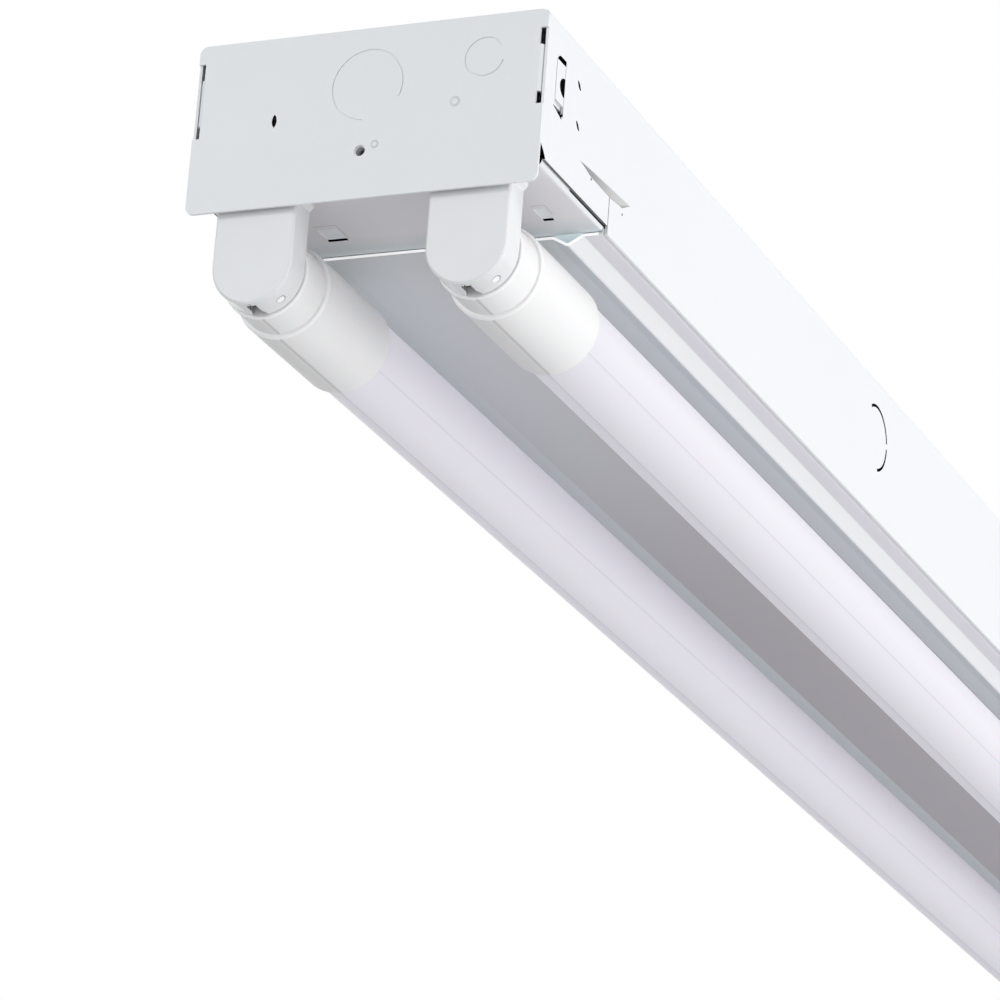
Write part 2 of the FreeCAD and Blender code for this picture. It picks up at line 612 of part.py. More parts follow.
def lampholder():
    """The moulded body: rotor bore, contact pockets, lead holes and the way in for the pins."""
    body = holder_section().translated(Vector(0, HOLDER_FRONT, 0))
    body = body.extrude(Vector(0, HOLDER_THICKNESS, 0))
    front = [edge for edge in body.Edges
             if edge.BoundBox.YMax < HOLDER_FRONT + 0.01 and edge.BoundBox.ZMax < SHOULDER_TOP / 2 + 5
             and edge.BoundBox.ZMin < 1]
    body = body.makeChamfer(HOLDER_BEVEL, front)
    back = HOLDER_BACK + 1
    bore = ROTOR_RADIUS + ROTOR_FIT
    contact_end = CONTACT_START + CONTACT_WIDTH + CONTACT_GAP
    pocket_out = CONTACT_FACE + CONTACT_THICKNESS + CONTACT_GAP
    cuts = [rod(bore, Vector(0, ROTOR_FRONT - ROTOR_FIT, 0), Vector(0, back, 0)),
            box((-ENTRY_WIDTH / 2, ENTRY_WIDTH / 2), (ROTOR_FLOOR, back), (-HOLDER_RADIUS - 1, 0))]
    mouth = [(0, ROTOR_FRONT, 0), (MOUTH_HALF_WIDTH, back, 0), (-MOUTH_HALF_WIDTH, back, 0)]
    cuts.append(plate_of(mouth, in_xy, Vector(0, 0, -HOLDER_RADIUS - 1),
                         Vector(0, 0, 1 + MOUTH_DEPTH)))
    for sign in (1, -1):
        cuts.append(box((sign * bore * 0.9, sign * pocket_out),
                        (CONTACT_START - CONTACT_GAP, contact_end),
                        (-CONTACT_FOOT - CONTACT_GAP, HEAD_TOP - LEAD_DEPTH / 2)))
        cuts.append(box(around(sign * LEAD_PLACE), around(LEAD_Y),
                        (HEAD_TOP - LEAD_DEPTH, HEAD_TOP + 1)))
    return about_lamp(body.cut(cuts))


def lampholder_rotor():
    """The rotor: a drum with a slot across it that takes both pins, and a web in front."""
    drum = rod(ROTOR_RADIUS, Vector(0, ROTOR_FRONT, 0), Vector(0, ROTOR_BACK, 0))
    half = PIN_RADIUS + ROTOR_SLOT_GAP
    reach = ROTOR_RADIUS + 1
    return about_lamp(drum.cut(box((-reach, reach), (ROTOR_FLOOR, HOLDER_BACK), (-half, half))))


def lampholder_contacts():
    """Two contact strips that rise from beside the pins to the lead holes."""
    strips = []
    top = HEAD_TOP - LEAD_DEPTH / 2 - CONTACT_GAP
    for sign in (1, -1):
        strips.append(box((sign * CONTACT_FACE, sign * (CONTACT_FACE + CONTACT_THICKNESS)),
                          (CONTACT_START, CONTACT_START + CONTACT_WIDTH), (-CONTACT_FOOT, top)))
    return about_lamp(Part.makeCompound(strips))


# ---------------------------------------------------------------- lamp
def turned_piece(profile):
    """A piece turned about the lamp axis from corners (distance along, radius)."""
    points = [Vector(radius, y, 0) for y, radius in profile]
    face = Part.Face(Part.makePolygon(points + points[:1]))
    return face.revolve(Vector(0, 0, 0), Vector(0, 1, 0), 360)


def lamp_cap():
    """The end cap: a filled collar, then a wider sleeve round the end of the tube."""
    base = END_REACH
    step = base + COLLAR_LENGTH
    end = base + CAP_LENGTH
    sleeve = TUBE_RADIUS + TUBE_FIT
    stop = step + TUBE_STOP
    return about_lamp(turned_piece([
        (base, 0), (base, COLLAR_RADIUS), (step, COLLAR_RADIUS), (step, CAP_RADIUS),
        (end, CAP_RADIUS), (end, sleeve), (stop, sleeve), (stop, 0)]))


def lamp_pins():
    """The two contact pins of one lamp end, drawn with PIN_FLATS flats, standing on the base."""
    pins = []
    for x in (-PIN_SPACING / 2, PIN_SPACING / 2):
        turns = [2 * pi * i / PIN_FLATS for i in range(PIN_FLATS)]
        corners = [(x + PIN_RADIUS * cos(a), PIN_RADIUS * sin(a), 0) for a in turns]
        pins.append(plate_of(corners, in_xz, Vector(0, PIN_TIP_PLACE, 0),
                             Vector(0, END_REACH - PIN_TIP_PLACE, 0)))
    return about_lamp(Part.makeCompound(pins))


def lamp_tube():
    """The frosted tube, whole length, from cap to cap."""
    start, stop = TUBE_START, LIGHT_LENGTH - TUBE_START
    inner = TUBE_RADIUS - TUBE_WALL
    tube = turned_piece([(start, inner), (start, TUBE_RADIUS), (stop, TUBE_RADIUS), (stop, inner)])
    return about_lamp(tube)


def lamp_rail():
    """The aluminium rail: a D-shaped extrusion in the upper part of the tube."""
    inner = RAIL_RADIUS - RAIL_WALL
    low = RAIL_WEB_HEIGHT
    high = RAIL_WEB_HEIGHT + RAIL_WEB

    def dome(radius, height):
        half = sqrt(radius ** 2 - height ** 2)
        arc = Part.Arc(in_xz(half, height), in_xz(0, radius), in_xz(-half, height)).toShape()
        return Part.Wire([arc, Part.LineSegment(in_xz(-half, height), in_xz(half, height)).toShape()])
    section = Part.Face(dome(RAIL_RADIUS, low)).cut(Part.Face(dome(inner, high)))
    length = LIGHT_LENGTH - 2 * RAIL_START
    rail = section.translated(Vector(0, RAIL_START, 0)).extrude(Vector(0, length, 0))
    return about_lamp(rail)


def led_board():
    """The long circuit board under the rail."""
    return about_lamp(box((-BOARD_WIDTH / 2, BOARD_WIDTH / 2), (RAIL_START, LIGHT_LENGTH - RAIL_START),
                          (RAIL_WEB_HEIGHT - BOARD_THICKNESS, RAIL_WEB_HEIGHT)))


def led_chips():
    """The row of LED chips on the board's underside."""
    under = RAIL_WEB_HEIGHT - BOARD_THICKNESS
    pitch = (LIGHT_LENGTH - 2 * RAIL_START) / CHIP_COUNT
    chips = []
    for i in range(CHIP_COUNT):
        y = RAIL_START + pitch * (i + 0.5)
        chips.append(box((-CHIP_SIZE / 2, CHIP_SIZE / 2), (y - CHIP_LENGTH / 2, y + CHIP_LENGTH / 2),
                         (under - CHIP_HEIGHT, under)))
    return about_lamp(Part.makeCompound(chips))


def lamp_driver():
    """The driver board with its coil and capacitor, inside the rail at the near end."""
    start = RAIL_START + DRIVER_START
    low = RAIL_WEB_HEIGHT + RAIL_WEB
    top = low + DRIVER_BOARD
    board = box((-DRIVER_WIDTH / 2, DRIVER_WIDTH / 2), (start, start + DRIVER_LENGTH), (low, top))
    middle = start + DRIVER_LENGTH / 2
    coil = box((-DRIVER_COIL / 2, DRIVER_COIL / 2), (middle - DRIVER_COIL, middle + DRIVER_COIL),
               (top, top + DRIVER_COIL_HEIGHT))
    parts = [board, coil]
    height = top + CAPACITOR_RADIUS * 0.9
    y = start + CAPACITOR_START
    parts.append(rod(CAPACITOR_RADIUS, Vector(0, y, height), Vector(0, y + CAPACITOR_LENGTH, height)))
    return about_lamp(joined(parts))


# ---------------------------------------------------------------- wiring
def around(place):
    """Both sides of a square lead hole, from its middle."""
    return (place - LEAD_RADIUS - LEAD_GAP, place + LEAD_RADIUS + LEAD_GAP)


def block_hole_x(index):
    """How far across the light the terminal block's hole number 0 to 3 lies."""
    return (index - 1.5) * BLOCK_PITCH


def terminal_block():
    """The push-in block under the ceiling face, with square lead holes at both ends."""
    top = -SHEET
    end = BLOCK_START + BLOCK_LENGTH
    block = box((-BLOCK_WIDTH / 2, BLOCK_WIDTH / 2), (BLOCK_START, end), (top - BLOCK_HEIGHT, top))
    height = top - BLOCK_HEIGHT / 2
    cuts = []
    for index in range(4):
        x = around(block_hole_x(index))
        cuts.append(box(x, (BLOCK_START - 1, BLOCK_START + LEAD_DEPTH), around(height)))
        cuts.append(box(x, (end - LEAD_DEPTH, end + 1), around(height)))
    return block.cut(cuts)


def lead_along(points, label):
    """A lead, drawn with LEAD_FLATS flats, along straight runs joined by rounded bends.

    Each bend takes the same share of the shorter of the two runs that it joins, and is drawn with
    BEND_STEPS short straight runs. Each ring of corners lies in the mitre plane between two runs.
    """
    path = [points[0]]
    radii = []
    for before, corner, after in zip(points, points[1:], points[2:]):
        back, ahead = before - corner, after - corner
        run = LEAD_ARC_SHARE * min(back.Length, ahead.Length)
        back.normalize()
        ahead.normalize()
        half = back.getAngle(ahead) / 2
        radius = run * tan(half)
        radii.append(radius)
        middle = back + ahead
        middle.normalize()
        centre = corner + middle * (radius / sin(half))
        arc = Part.Arc(corner + back * run, centre - middle * radius, corner + ahead * run)
        first, last = arc.FirstParameter, arc.LastParameter
        path += [arc.value(first + (last - first) * i / BEND_STEPS) for i in range(BEND_STEPS + 1)]
    path.append(points[-1])
    ways = [stop - start for start, stop in zip(path, path[1:])]
    for way in ways:
        way.normalize()
    across = Vector(1, 0, 0)
    other = ways[0].cross(across)
    turns = [2 * pi * (i + 0.5) / LEAD_FLATS for i in range(LEAD_FLATS)]
    ring = [path[0] + (across * cos(a) + other * sin(a)) * LEAD_RADIUS for a in turns]
    wires = [Part.makePolygon(ring + ring[:1])]
    for i, way in enumerate(ways):
        stop = path[i + 1]
        mitre = way + ways[min(i + 1, len(ways) - 1)]
        ring = [p + way * ((stop - p).dot(mitre) / way.dot(mitre)) for p in ring]
        wires.append(Part.makePolygon(ring + ring[:1]))
    length = sum((stop - start).Length for start, stop in zip(path, path[1:]))
    print(f"{label}: length {length:.1f} mm, bends {[round(r, 1) for r in radii]}")
    return Part.makeLoft(wires, True, True)


def holder_lead(side, sign, index):
    """A lead from one hole of a near lampholder up and along to the terminal block."""
    x = SIDES[side] + sign * LEAD_PLACE
    floor = HEAD_TOP - LEAD_DEPTH - LAMP_DEPTH
    level = -SHEET - BLOCK_HEIGHT / 2
    to_x = block_hole_x(index)
    points = [Vector(x, LEAD_Y, floor), Vector(x, LEAD_Y, level),
              Vector(to_x, BLOCK_START - LEAD_STRAIGHT, level),
              Vector(to_x, BLOCK_START + LEAD_DEPTH, level)]
    return lead_along([p + Vector(0, -LIGHT_LENGTH / 2, 0) for p in points], "lead " + side)


def earth_lead():
    """The earth lead from the block's far side to its ring under the earth screw."""
    level = -SHEET - BLOCK_HEIGHT / 2
    x = block_hole_x(3)
    screw_x, screw_y = EARTH_SCREW
    under = -SHEET - LEAD_RADIUS - EARTH_RING_THICKNESS / 4
    start = Vector(x, BLOCK_START + BLOCK_LENGTH - LEAD_DEPTH, level)
    points = [start, start + Vector(0, EARTH_STRAIGHT, 0),
              Vector(screw_x, screw_y - EARTH_STRAIGHT, under),
              Vector(screw_x, screw_y - EARTH_RING_RADIUS - 0.6, under)]
    shift = Vector(0, -LIGHT_LENGTH / 2, 0)
    tube = lead_along([p + shift for p in points], "earth lead")
    centre = Vector(screw_x, screw_y, -SHEET) + shift
    turns = [2 * pi * (i + 0.5) / EARTH_RING_FLATS for i in range(EARTH_RING_FLATS)]
    corners = [(EARTH_RING_RADIUS * cos(a), EARTH_RING_RADIUS * sin(a), 0) for a in turns]
    ring = plate_of(corners, in_xy, centre, Vector(0, 0, -EARTH_RING_THICKNESS))
    tail = box((screw_x - 1.2, screw_x + 1.2), (centre.y - EARTH_RING_RADIUS - 1.8, centre.y),
               (-SHEET - EARTH_RING_THICKNESS, -SHEET))
    hole = rod(EARTH_SHANK_RADIUS, centre - Vector(0, 0, EARTH_RING_THICKNESS + 1),
               centre + Vector(0, 0, 1))
    return joined([tube, joined([ring, tail]).cut(hole)])


def earth_screw():
    """The hexagon screw that holds the earth lead's ring to the channel."""
    x, y = EARTH_SCREW
    centre = Vector(x, y - LIGHT_LENGTH / 2, 0)
    under = -SHEET - EARTH_RING_THICKNESS
    corners = [Vector(EARTH_HEAD_RADIUS * cos(i * pi / 3), EARTH_HEAD_RADIUS * sin(i * pi / 3),
                      under) + centre for i in range(6)]
    head = Part.Face(Part.makePolygon(corners + corners[:1]))
    head = head.extrude(Vector(0, 0, -EARTH_HEAD_HEIGHT))
    shank = rod(EARTH_SHANK_RADIUS, centre + Vector(0, 0, under), centre)
    return joined([head, shank])


# ---------------------------------------------------------------- every piece
def main():
    os.makedirs("parts", exist_ok=True)
    save("housing_channel", housing_channel())
    save("wireway_cover", wireway_cover())
    for end in ENDS:
        save("socket_bracket_" + end, at_end(socket_bracket(), end))
        for side, x in SIDES.items():
            place = end + "_" + side
            save("lampholder_contacts_" + place, at_end(lampholder_contacts(), end, x))
            save("lamp_" + side + "_pins_" + end, at_end(lamp_pins(), end, x))
    save("end_plates", at_both_ends(end_plate(), 0))
    holder = lampholder()
    places = [(end, x) for end in ENDS for x in SIDES.values()]
    save("lampholders", Part.makeCompound([at_end(holder, end, x) for end, x in places]))
    for side, x in SIDES.items():
        name = "lamp_" + side + "_"
        save(name + "caps", at_both_ends(lamp_cap(), x))
        save(name + "rotors", at_both_ends(lampholder_rotor(), x))
        save(name + "tube", at_end(lamp_tube(), "near", x))
        save(name + "heat_sink", at_end(lamp_rail(), "near", x))
        save(name + "led_board", at_end(led_board(), "near", x))
        save(name + "led_chips", at_end(led_chips(), "near", x))
        save(name + "driver", at_end(lamp_driver(), "near", x))
    save("terminal_block", at_end(terminal_block(), "near"))
    save("line_leads", Part.makeCompound([holder_lead("left", 1, 1), holder_lead("right", -1, 2)]))
    save("neutral_leads", Part.makeCompound([holder_lead("left", -1, 0),
                                             holder_lead("right", 1, 3)]))
    save("earth_lead", earth_lead())
    save("earth_screw", earth_screw())


main()
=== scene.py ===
"""Looks of a two-lamp strip light for a workshop ceiling, in metres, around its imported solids.

Most pieces keep their own solids and get a material here. The channel is cut and filled again
beside the details of its walls, the lamp tubes and end caps are turned again with rounded edges,
and the lampholders get soft edges.
"""

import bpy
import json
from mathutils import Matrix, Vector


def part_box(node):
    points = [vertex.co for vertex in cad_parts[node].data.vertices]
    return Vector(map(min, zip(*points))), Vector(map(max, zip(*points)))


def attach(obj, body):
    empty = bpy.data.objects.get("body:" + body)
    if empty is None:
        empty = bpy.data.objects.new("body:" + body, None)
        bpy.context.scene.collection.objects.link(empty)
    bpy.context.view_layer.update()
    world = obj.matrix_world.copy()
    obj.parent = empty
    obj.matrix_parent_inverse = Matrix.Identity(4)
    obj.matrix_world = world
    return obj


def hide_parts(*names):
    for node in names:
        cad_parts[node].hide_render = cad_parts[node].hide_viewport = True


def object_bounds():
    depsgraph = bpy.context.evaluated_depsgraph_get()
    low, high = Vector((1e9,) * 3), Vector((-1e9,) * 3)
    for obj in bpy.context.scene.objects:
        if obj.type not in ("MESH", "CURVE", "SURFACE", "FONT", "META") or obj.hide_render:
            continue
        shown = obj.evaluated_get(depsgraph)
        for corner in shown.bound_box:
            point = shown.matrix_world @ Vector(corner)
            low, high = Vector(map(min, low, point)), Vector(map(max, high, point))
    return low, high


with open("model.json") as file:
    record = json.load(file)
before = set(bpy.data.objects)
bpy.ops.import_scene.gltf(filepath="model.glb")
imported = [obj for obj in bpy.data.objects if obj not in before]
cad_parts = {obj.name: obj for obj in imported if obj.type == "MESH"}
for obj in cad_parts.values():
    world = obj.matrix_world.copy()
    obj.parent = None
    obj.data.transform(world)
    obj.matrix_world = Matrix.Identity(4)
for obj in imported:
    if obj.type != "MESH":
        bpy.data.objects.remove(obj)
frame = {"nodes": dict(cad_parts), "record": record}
import json
from functools import cached_property
from math import cos, pi, radians, sin

import bmesh
import bpy
import numpy as np
from mathutils import Matrix, Vector

MM = 0.001
CAD_BOX = [list(corner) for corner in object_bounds()]
SIDES = ("left", "right")
LAMP_AXIS = (32.8 * MM, -67.9 * MM)        # across and up
SHARP_ANGLE = radians(32)                  # edges that turn more than this stay sharp

# ------------------------------------------------------------------ sizes of the redrawn pieces
AROUND = 144                   # steps round a lamp
COLLAR_RADIUS = 13.1 * MM
COLLAR_LENGTH = 12.0 * MM
CAP_LENGTH = 55.5 * MM
CAP_CHAMFER = 0.8 * MM
CAP_ROUND = 0.5 * MM
CAP_STOP = 1.5 * MM
TUBE_WALL = 1.2 * MM
TUBE_FIT = 0.1 * MM
HOLDER_SOFTNESS = 0.35 * MM

# ------------------------------------------------------------------ camera, from the photograph
CAMERA_PLACE = Vector((589.8, -1212.5, -629.8)) * MM     # from the near end of the ceiling face
CAMERA_AZIMUTH = radians(23.99)
CAMERA_ELEVATION = radians(-20.02)
CAMERA_ROLL = radians(4.32)
FOCAL_PIXELS = 5239.9
PICTURE_PIXELS = 1000.0
SENSOR = 36.0


# ------------------------------------------------------------------ node graphs
class Value:
    """An output of a node graph, on which sums, products and powers add maths nodes."""

    def __init__(self, graph, socket):
        self.graph = graph
        self.socket = socket

    def math(self, kind, *others):
        return self.graph.node("ShaderNodeMath", [self, *others], operation=kind)

    def __add__(self, other):
        return self.math("ADD", other)

    def __radd__(self, other):
        return self.math("ADD", other)

    def __sub__(self, other):
        return self.math("SUBTRACT", other)

    def __rsub__(self, other):
        return self.graph.node("ShaderNodeMath", [other, self], operation="SUBTRACT")

    def __mul__(self, other):
        return self.math("MULTIPLY", other)

    def __rmul__(self, other):
        return self.math("MULTIPLY", other)

    def __truediv__(self, other):
        return self.math("DIVIDE", other)

    def __rtruediv__(self, other):
        return self.graph.node("ShaderNodeMath", [other, self], operation="DIVIDE")

    def __pow__(self, other):
        return self.math("POWER", other)

    def __neg__(self):
        return self.math("MULTIPLY", -1.0)

    def __abs__(self):
        return self.math("ABSOLUTE")

    def below(self, limit):
        return self.math("LESS_THAN", limit)

    def above(self, limit):
        return self.math("GREATER_THAN", limit)

    def smooth(self, low, high):
        """0 at `low`, 1 at `high`, with an S-curve between them."""
        return self.graph.node("ShaderNodeMapRange", {"Value": self, "From Min": low,
                                                      "From Max": high},
                               interpolation_type="SMOOTHSTEP")


class Graph:
    """The node graph of one material, ending in a Principled BSDF."""

    def __init__(self, name, **constants):
        self.material = bpy.data.materials.new(name)
        self.material.use_nodes = True
        self.tree = self.material.node_tree
        self.shader = self.tree.nodes["Principled BSDF"]
        for key, value in constants.items():
            self.shader.inputs[key.replace("_", " ")].default_value = value
        self.point = self.node("ShaderNodeTexCoord", {}, out="Object")
        split = self.tree.nodes.new("ShaderNodeSeparateXYZ")
        self.tree.links.new(self.point.socket, split.inputs[0])
        self.x, self.y, self.z = (Value(self, output) for output in split.outputs)

    def node(self, kind, inputs, out=0, **settings):
        """Any node: its inputs by place or by name, its settings, and the output that is wanted."""
        made = self.tree.nodes.new(kind)
        for key, value in settings.items():
            setattr(made, key, value)
        pairs = inputs.items() if isinstance(inputs, dict) else enumerate(inputs)
        for key, value in pairs:
            if isinstance(value, Value):
                self.tree.links.new(value.socket, made.inputs[key])
            else:
                made.inputs[key].default_value = value
        return Value(self, made.outputs[out])

    def noise(self, scale, detail=2.0, stretch=(1, 1, 1)):
        """Cloudy noise from 0 to 1, with `scale` clouds a metre, over the piece's own coordinates."""
        spread = self.node("ShaderNodeVectorMath", [self.point, stretch], operation="MULTIPLY")
        return self.node("ShaderNodeTexNoise", {"Vector": spread, "Scale": scale,
                                                "Detail": detail})

    def mix(self, share, first, second):
        """A colour between two colours."""
        made = self.tree.nodes.new("ShaderNodeMix")
        made.data_type = "RGBA"
        places = (made.inputs[0], made.inputs[6], made.inputs[7])
        for place, value in zip(places, (share, first, second)):
            if isinstance(value, Value):
                self.tree.links.new(value.socket, place)
            else:
                place.default_value = value
        return Value(self, made.outputs[2])

    def set(self, name, value):
        self.tree.links.new(value.socket, self.shader.inputs[name])

    def bump(self, height):
        """Relief from a height in metres."""
        self.set("Normal", self.node("ShaderNodeBump", {"Height": height, "Strength": 1.0,
                                                        "Distance": 1.0}, out="Normal"))

    def blacken(self, share):
        """Mixes in a dull black shader as painted shade, where no light gets in."""
        black = self.tree.nodes.new("ShaderNodeBsdfPrincipled")
        black.inputs["Base Color"].default_value = grey(0.004)
        black.inputs["Roughness"].default_value = 1.0
        black.inputs["Specular IOR Level"].default_value = 0.0
        mixed = self.node("ShaderNodeMixShader", {0: share, 1: Value(self, self.shader.outputs[0]),
                                                  2: Value(self, black.outputs[0])})
        self.tree.links.new(mixed.socket, self.tree.nodes["Material Output"].inputs["Surface"])

    @cached_property
    def sideways(self):
        """Distance across from the middle of the light."""
        return abs(self.x)

    @cached_property
    def turned(self):
        """Place across, with the sign that it has at the near end.

        The pieces of the far end are turned half a turn, so the same spot has the other sign there.
        """
        return -(self.x * self.y.math("SIGN"))

    @cached_property
    def along(self):
        """Distance from the outside of the nearer end plate."""
        return CAD_BOX[1][1] - abs(self.y)

    def beside_axis(self):
        """Place across and up from the axis of the nearer lamp."""
        return self.x - LAMP_AXIS[0] * self.x.math("SIGN"), self.z - LAMP_AXIS[1]

    def block(self, across, along, up, turned=False):
        """1 inside a block given by its limits in millimetres: across, along and up."""
        places = (self.turned if turned else self.sideways, self.along, self.z)
        masks = [within(place, low, high) for place, (low, high) in zip(places, (across, along, up))]
        return masks[0] * masks[1] * masks[2]

    def blocks(self, places, turned=False):
        """1 inside any of several blocks that lie apart."""
        masks = [self.block(*place, turned=turned) for place in places]
        return sum(masks[1:], masks[0])


def within(value, low, high):
    """1 where a value lies between two limits in millimetres."""
    return value.above(low * MM) * value.below(high * MM)


def distance(*offsets):
    """Length of an offset that is given by its parts."""
    squares = [offset ** 2.0 for offset in offsets]
    return sum(squares[1:], squares[0]) ** 0.5


def grey(level, warmth=0.0):
    """A nearly neutral colour, bluer for negative warmth."""
    return (level * (1 + warmth), level, level * (1 - warmth), 1.0)


# ------------------------------------------------------------------ places on the housing
# All in millimetres. Across is counted from the middle to both sides, or, where a name says turned,
# with the sign that it has at the near end. Along is counted from the outside of the nearer end
# plate, and up from the ceiling face. A block is (across, along, up), each with two limits.
DIMPLES = ((27.3, -25.7, 1.8), (3.6, -36.3, 1.4))       # turned across, up and radius
DIMPLE_DEPTH = 0.5
PLATE_FACE = 1.2               # the end plates' dimples lie within this much of the end
BRACKET_UNDERSIDE = ((0.0, 52.6), (1.0, 61.0), (-45.95, -45.6))
RIB_MOUTH = ((37.6, 46.5), (51.9, 61.2), (-45.95, -45.6))   # the bracket over a rib's open end
LIP_FACE = ((49.0, 53.9), (25.0, 70.0), (-36.4, -31.0))
# painted shade: a dark line under a wall's low edge, above the bracket
WALL_LOW_EDGE_SHADE = ((53.1, 54.1), (4.6, 51.9), (-44.45, -44.33))
# painted highlight: the cover's cut edge, white and glowing
COVER_CUT_EDGE_HIGHLIGHT = ((0.0, 51.5), (51.9, 52.05), (-50.0, -45.9))
COVER_MIDDLE = ((0.0, 31.0), (52.0, 700.0), (-47.4, -45.9))
COVER_ALONG = (52.0, 700.0)
# painted light and shade on the cover's strips and the slopes of its ribs
COVER_STRIP_LIGHT_AND_SHADE = (               # across and up, and the tone there
    ((31.0, 37.1), (-47.4, -45.9), (0.67, 0.71, 0.725, 1)),
    ((37.1, 42.1), (-50.0, -45.9), (0.62, 0.67, 0.69, 1)),
    ((42.1, 47.0), (-50.0, -45.9), (0.92, 0.925, 0.935, 1)),
    ((47.0, 52.7), (-47.4, -45.9), (0.78, 0.765, 0.80, 1)),
)
# painted shade along the outlines of the pressed fields
PRESSED_LINE_SHADES = (              # turned: outlines of the pressed fields beside the bracket's slits
    ((-28.2, -21.2), (30.2, 30.6), (-46.0, -45.7)),
    ((-21.4, -21.1), (30.4, 40.4), (-46.0, -45.7)),
    ((38.9, 43.3), (30.6, 31.0), (-46.0, -45.7)),
    ((43.1, 43.4), (30.8, 37.0), (-46.0, -45.7)),
)
CREVICES = (                   # where no light gets in
    ((52.0, 53.97), (23.4, 26.3), (-14.2, -11.2)),
    ((52.0, 53.97), (23.4, 26.6), (-26.3, -23.2)),
    ((51.0, 53.97), (10.3, 14.7), (-11.65, -9.8)),
    ((51.0, 53.97), (7.6, 14.7), (-27.4, -26.1)),
    ((49.0, 53.97), (1.05, 4.7), (-46.0, -40.0)),
)
TURNED_CREVICES = (
    ((-28.2, -21.9), (40.5, 41.6), (-45.78, -44.0)),
    ((38.9, 42.2), (40.5, 41.6), (-45.78, -44.0)),
    ((-29.3, -27.5), (0.02, 1.0), (-28.2, -23.6)),
)
# painted shade: the oval opening in the snap tab is painted dark
BITE = (14.7, -18.4)           # along and up: middle of the oval opening in the snap tab
BITE_HALVES = (3.6, 2.9)       # half its length along and half its height
BITE_BLOCK = ((51.0, 54.1), (10.0, 14.7), (-22.0, -15.0))
CRESCENT_BLOCK = ((51.0, 54.1), (7.4, 13.8), (-28.5, -25.5))
CRESCENT_LINE = (-25.0, -0.17)      # up, where along is 0, and its change for each mm along
CRESCENT_WIDTH = (6.5, 0.12)        # along, where it starts, and half its height for each mm
KNOCKOUT = (287.0, -20.0)      # along and up: middle of the knockout in a side wall
# painted shade: the knockout's slit is painted dark
KNOCKOUT_SLIT = (10.1, 11.1)   # inner and outer radius of its slit
KNOCKOUT_ARCS = (
    ((53.9, 54.1), (281.5, 299.0), (-18.4, -8.5)),
    ((53.9, 54.1), (289.5, 299.0), (-31.0, -20.2)),
)
WALL_FACE = 53.9               # a wall's outer face lies further across than this
# painted shade: the lances' openings are painted dark
LANCES = ((23.5, -11.8), (24.2, -23.9))    # along and up: the upper ends of their openings
LANCE_RUN = (2.7, -1.9)                    # along and up, from the upper end to the lower one
LANCE_HALF_HEIGHT = 0.9
LIP_DARK_DOTS = ((37.9, -35.9), (62.2, -36.5))     # along and up: dark dots of painted shade by the lip
LIP_DARK_DOT_RADIUS = 0.4

# Painted shade and light in the enamel, darker or lighter where the lamps, ribs and walls shade it.
BRACKET_SHADE_TONES = ((0.76, 0.735, 0.755, 1), (0.58, 0.635, 0.65, 1))     # outwards and at the cover
COVER_SHADE_TONES = ((0.69, 0.72, 0.735, 1), (0.66, 0.64, 0.66, 1))         # left and right of the middle
COVER_DEEP_SHADE = (0.50, 0.475, 0.495, 1)                             # further from the ends
# painted light: a glow on the bracket over a rib's open end
RIB_MOUTH_PAINTED_LIGHT = (0.30, 0.34, 0.35, 1)


# ------------------------------------------------------------------ materials
def enamel_colour(g):
    """Slow tone changes over the enamel; painted shade and light on bracket, cover, lip and edges."""
    tone = g.noise(9.0, 3.0) * 0.6 + g.noise(900.0, 2.0) * 0.25
    colour = g.mix(tone, grey(0.835, -0.022), grey(0.885, -0.018))
    # painted shade under the bracket, darker towards the cover's end
    bracket = g.mix(g.along.smooth(39 * MM, 50 * MM), *BRACKET_SHADE_TONES)
    colour = g.mix(0.85 * g.block(*BRACKET_UNDERSIDE), colour, bracket)
    # painted shade on the cover between the lamps, darker beside the right lamp and further along
    middle = g.mix(g.x.smooth(-16 * MM, 6 * MM), *COVER_SHADE_TONES)
    middle = g.mix(g.along.smooth(70 * MM, 400 * MM), middle, COVER_DEEP_SHADE)
    colour = g.mix(g.block(*COVER_MIDDLE), colour, middle)
    # painted light and shade on the cover's strips and the slopes of its ribs
    for across, up, strip_light_and_shade in COVER_STRIP_LIGHT_AND_SHADE:
        colour = g.mix(g.block(across, COVER_ALONG, up), colour, strip_light_and_shade)
    # painted shade on the pressed lip, darkest where it starts
    lip = g.mix(g.along.smooth(28 * MM, 62 * MM), grey(0.3, -0.01), grey(0.6))
    colour = g.mix(g.block(*LIP_FACE), colour, lip)
    # painted shade along the outlines of the pressed fields
    colour = g.mix(0.5 * g.blocks(PRESSED_LINE_SHADES, turned=True), colour, grey(0.3))
    # painted shade: a dark line under the wall's low edge
    colour = g.mix(g.block(*WALL_LOW_EDGE_SHADE), colour, grey(0.07))
    # painted highlight on the cover's cut edge
    return g.mix(g.block(*COVER_CUT_EDGE_HIGHLIGHT), colour, grey(1.0))


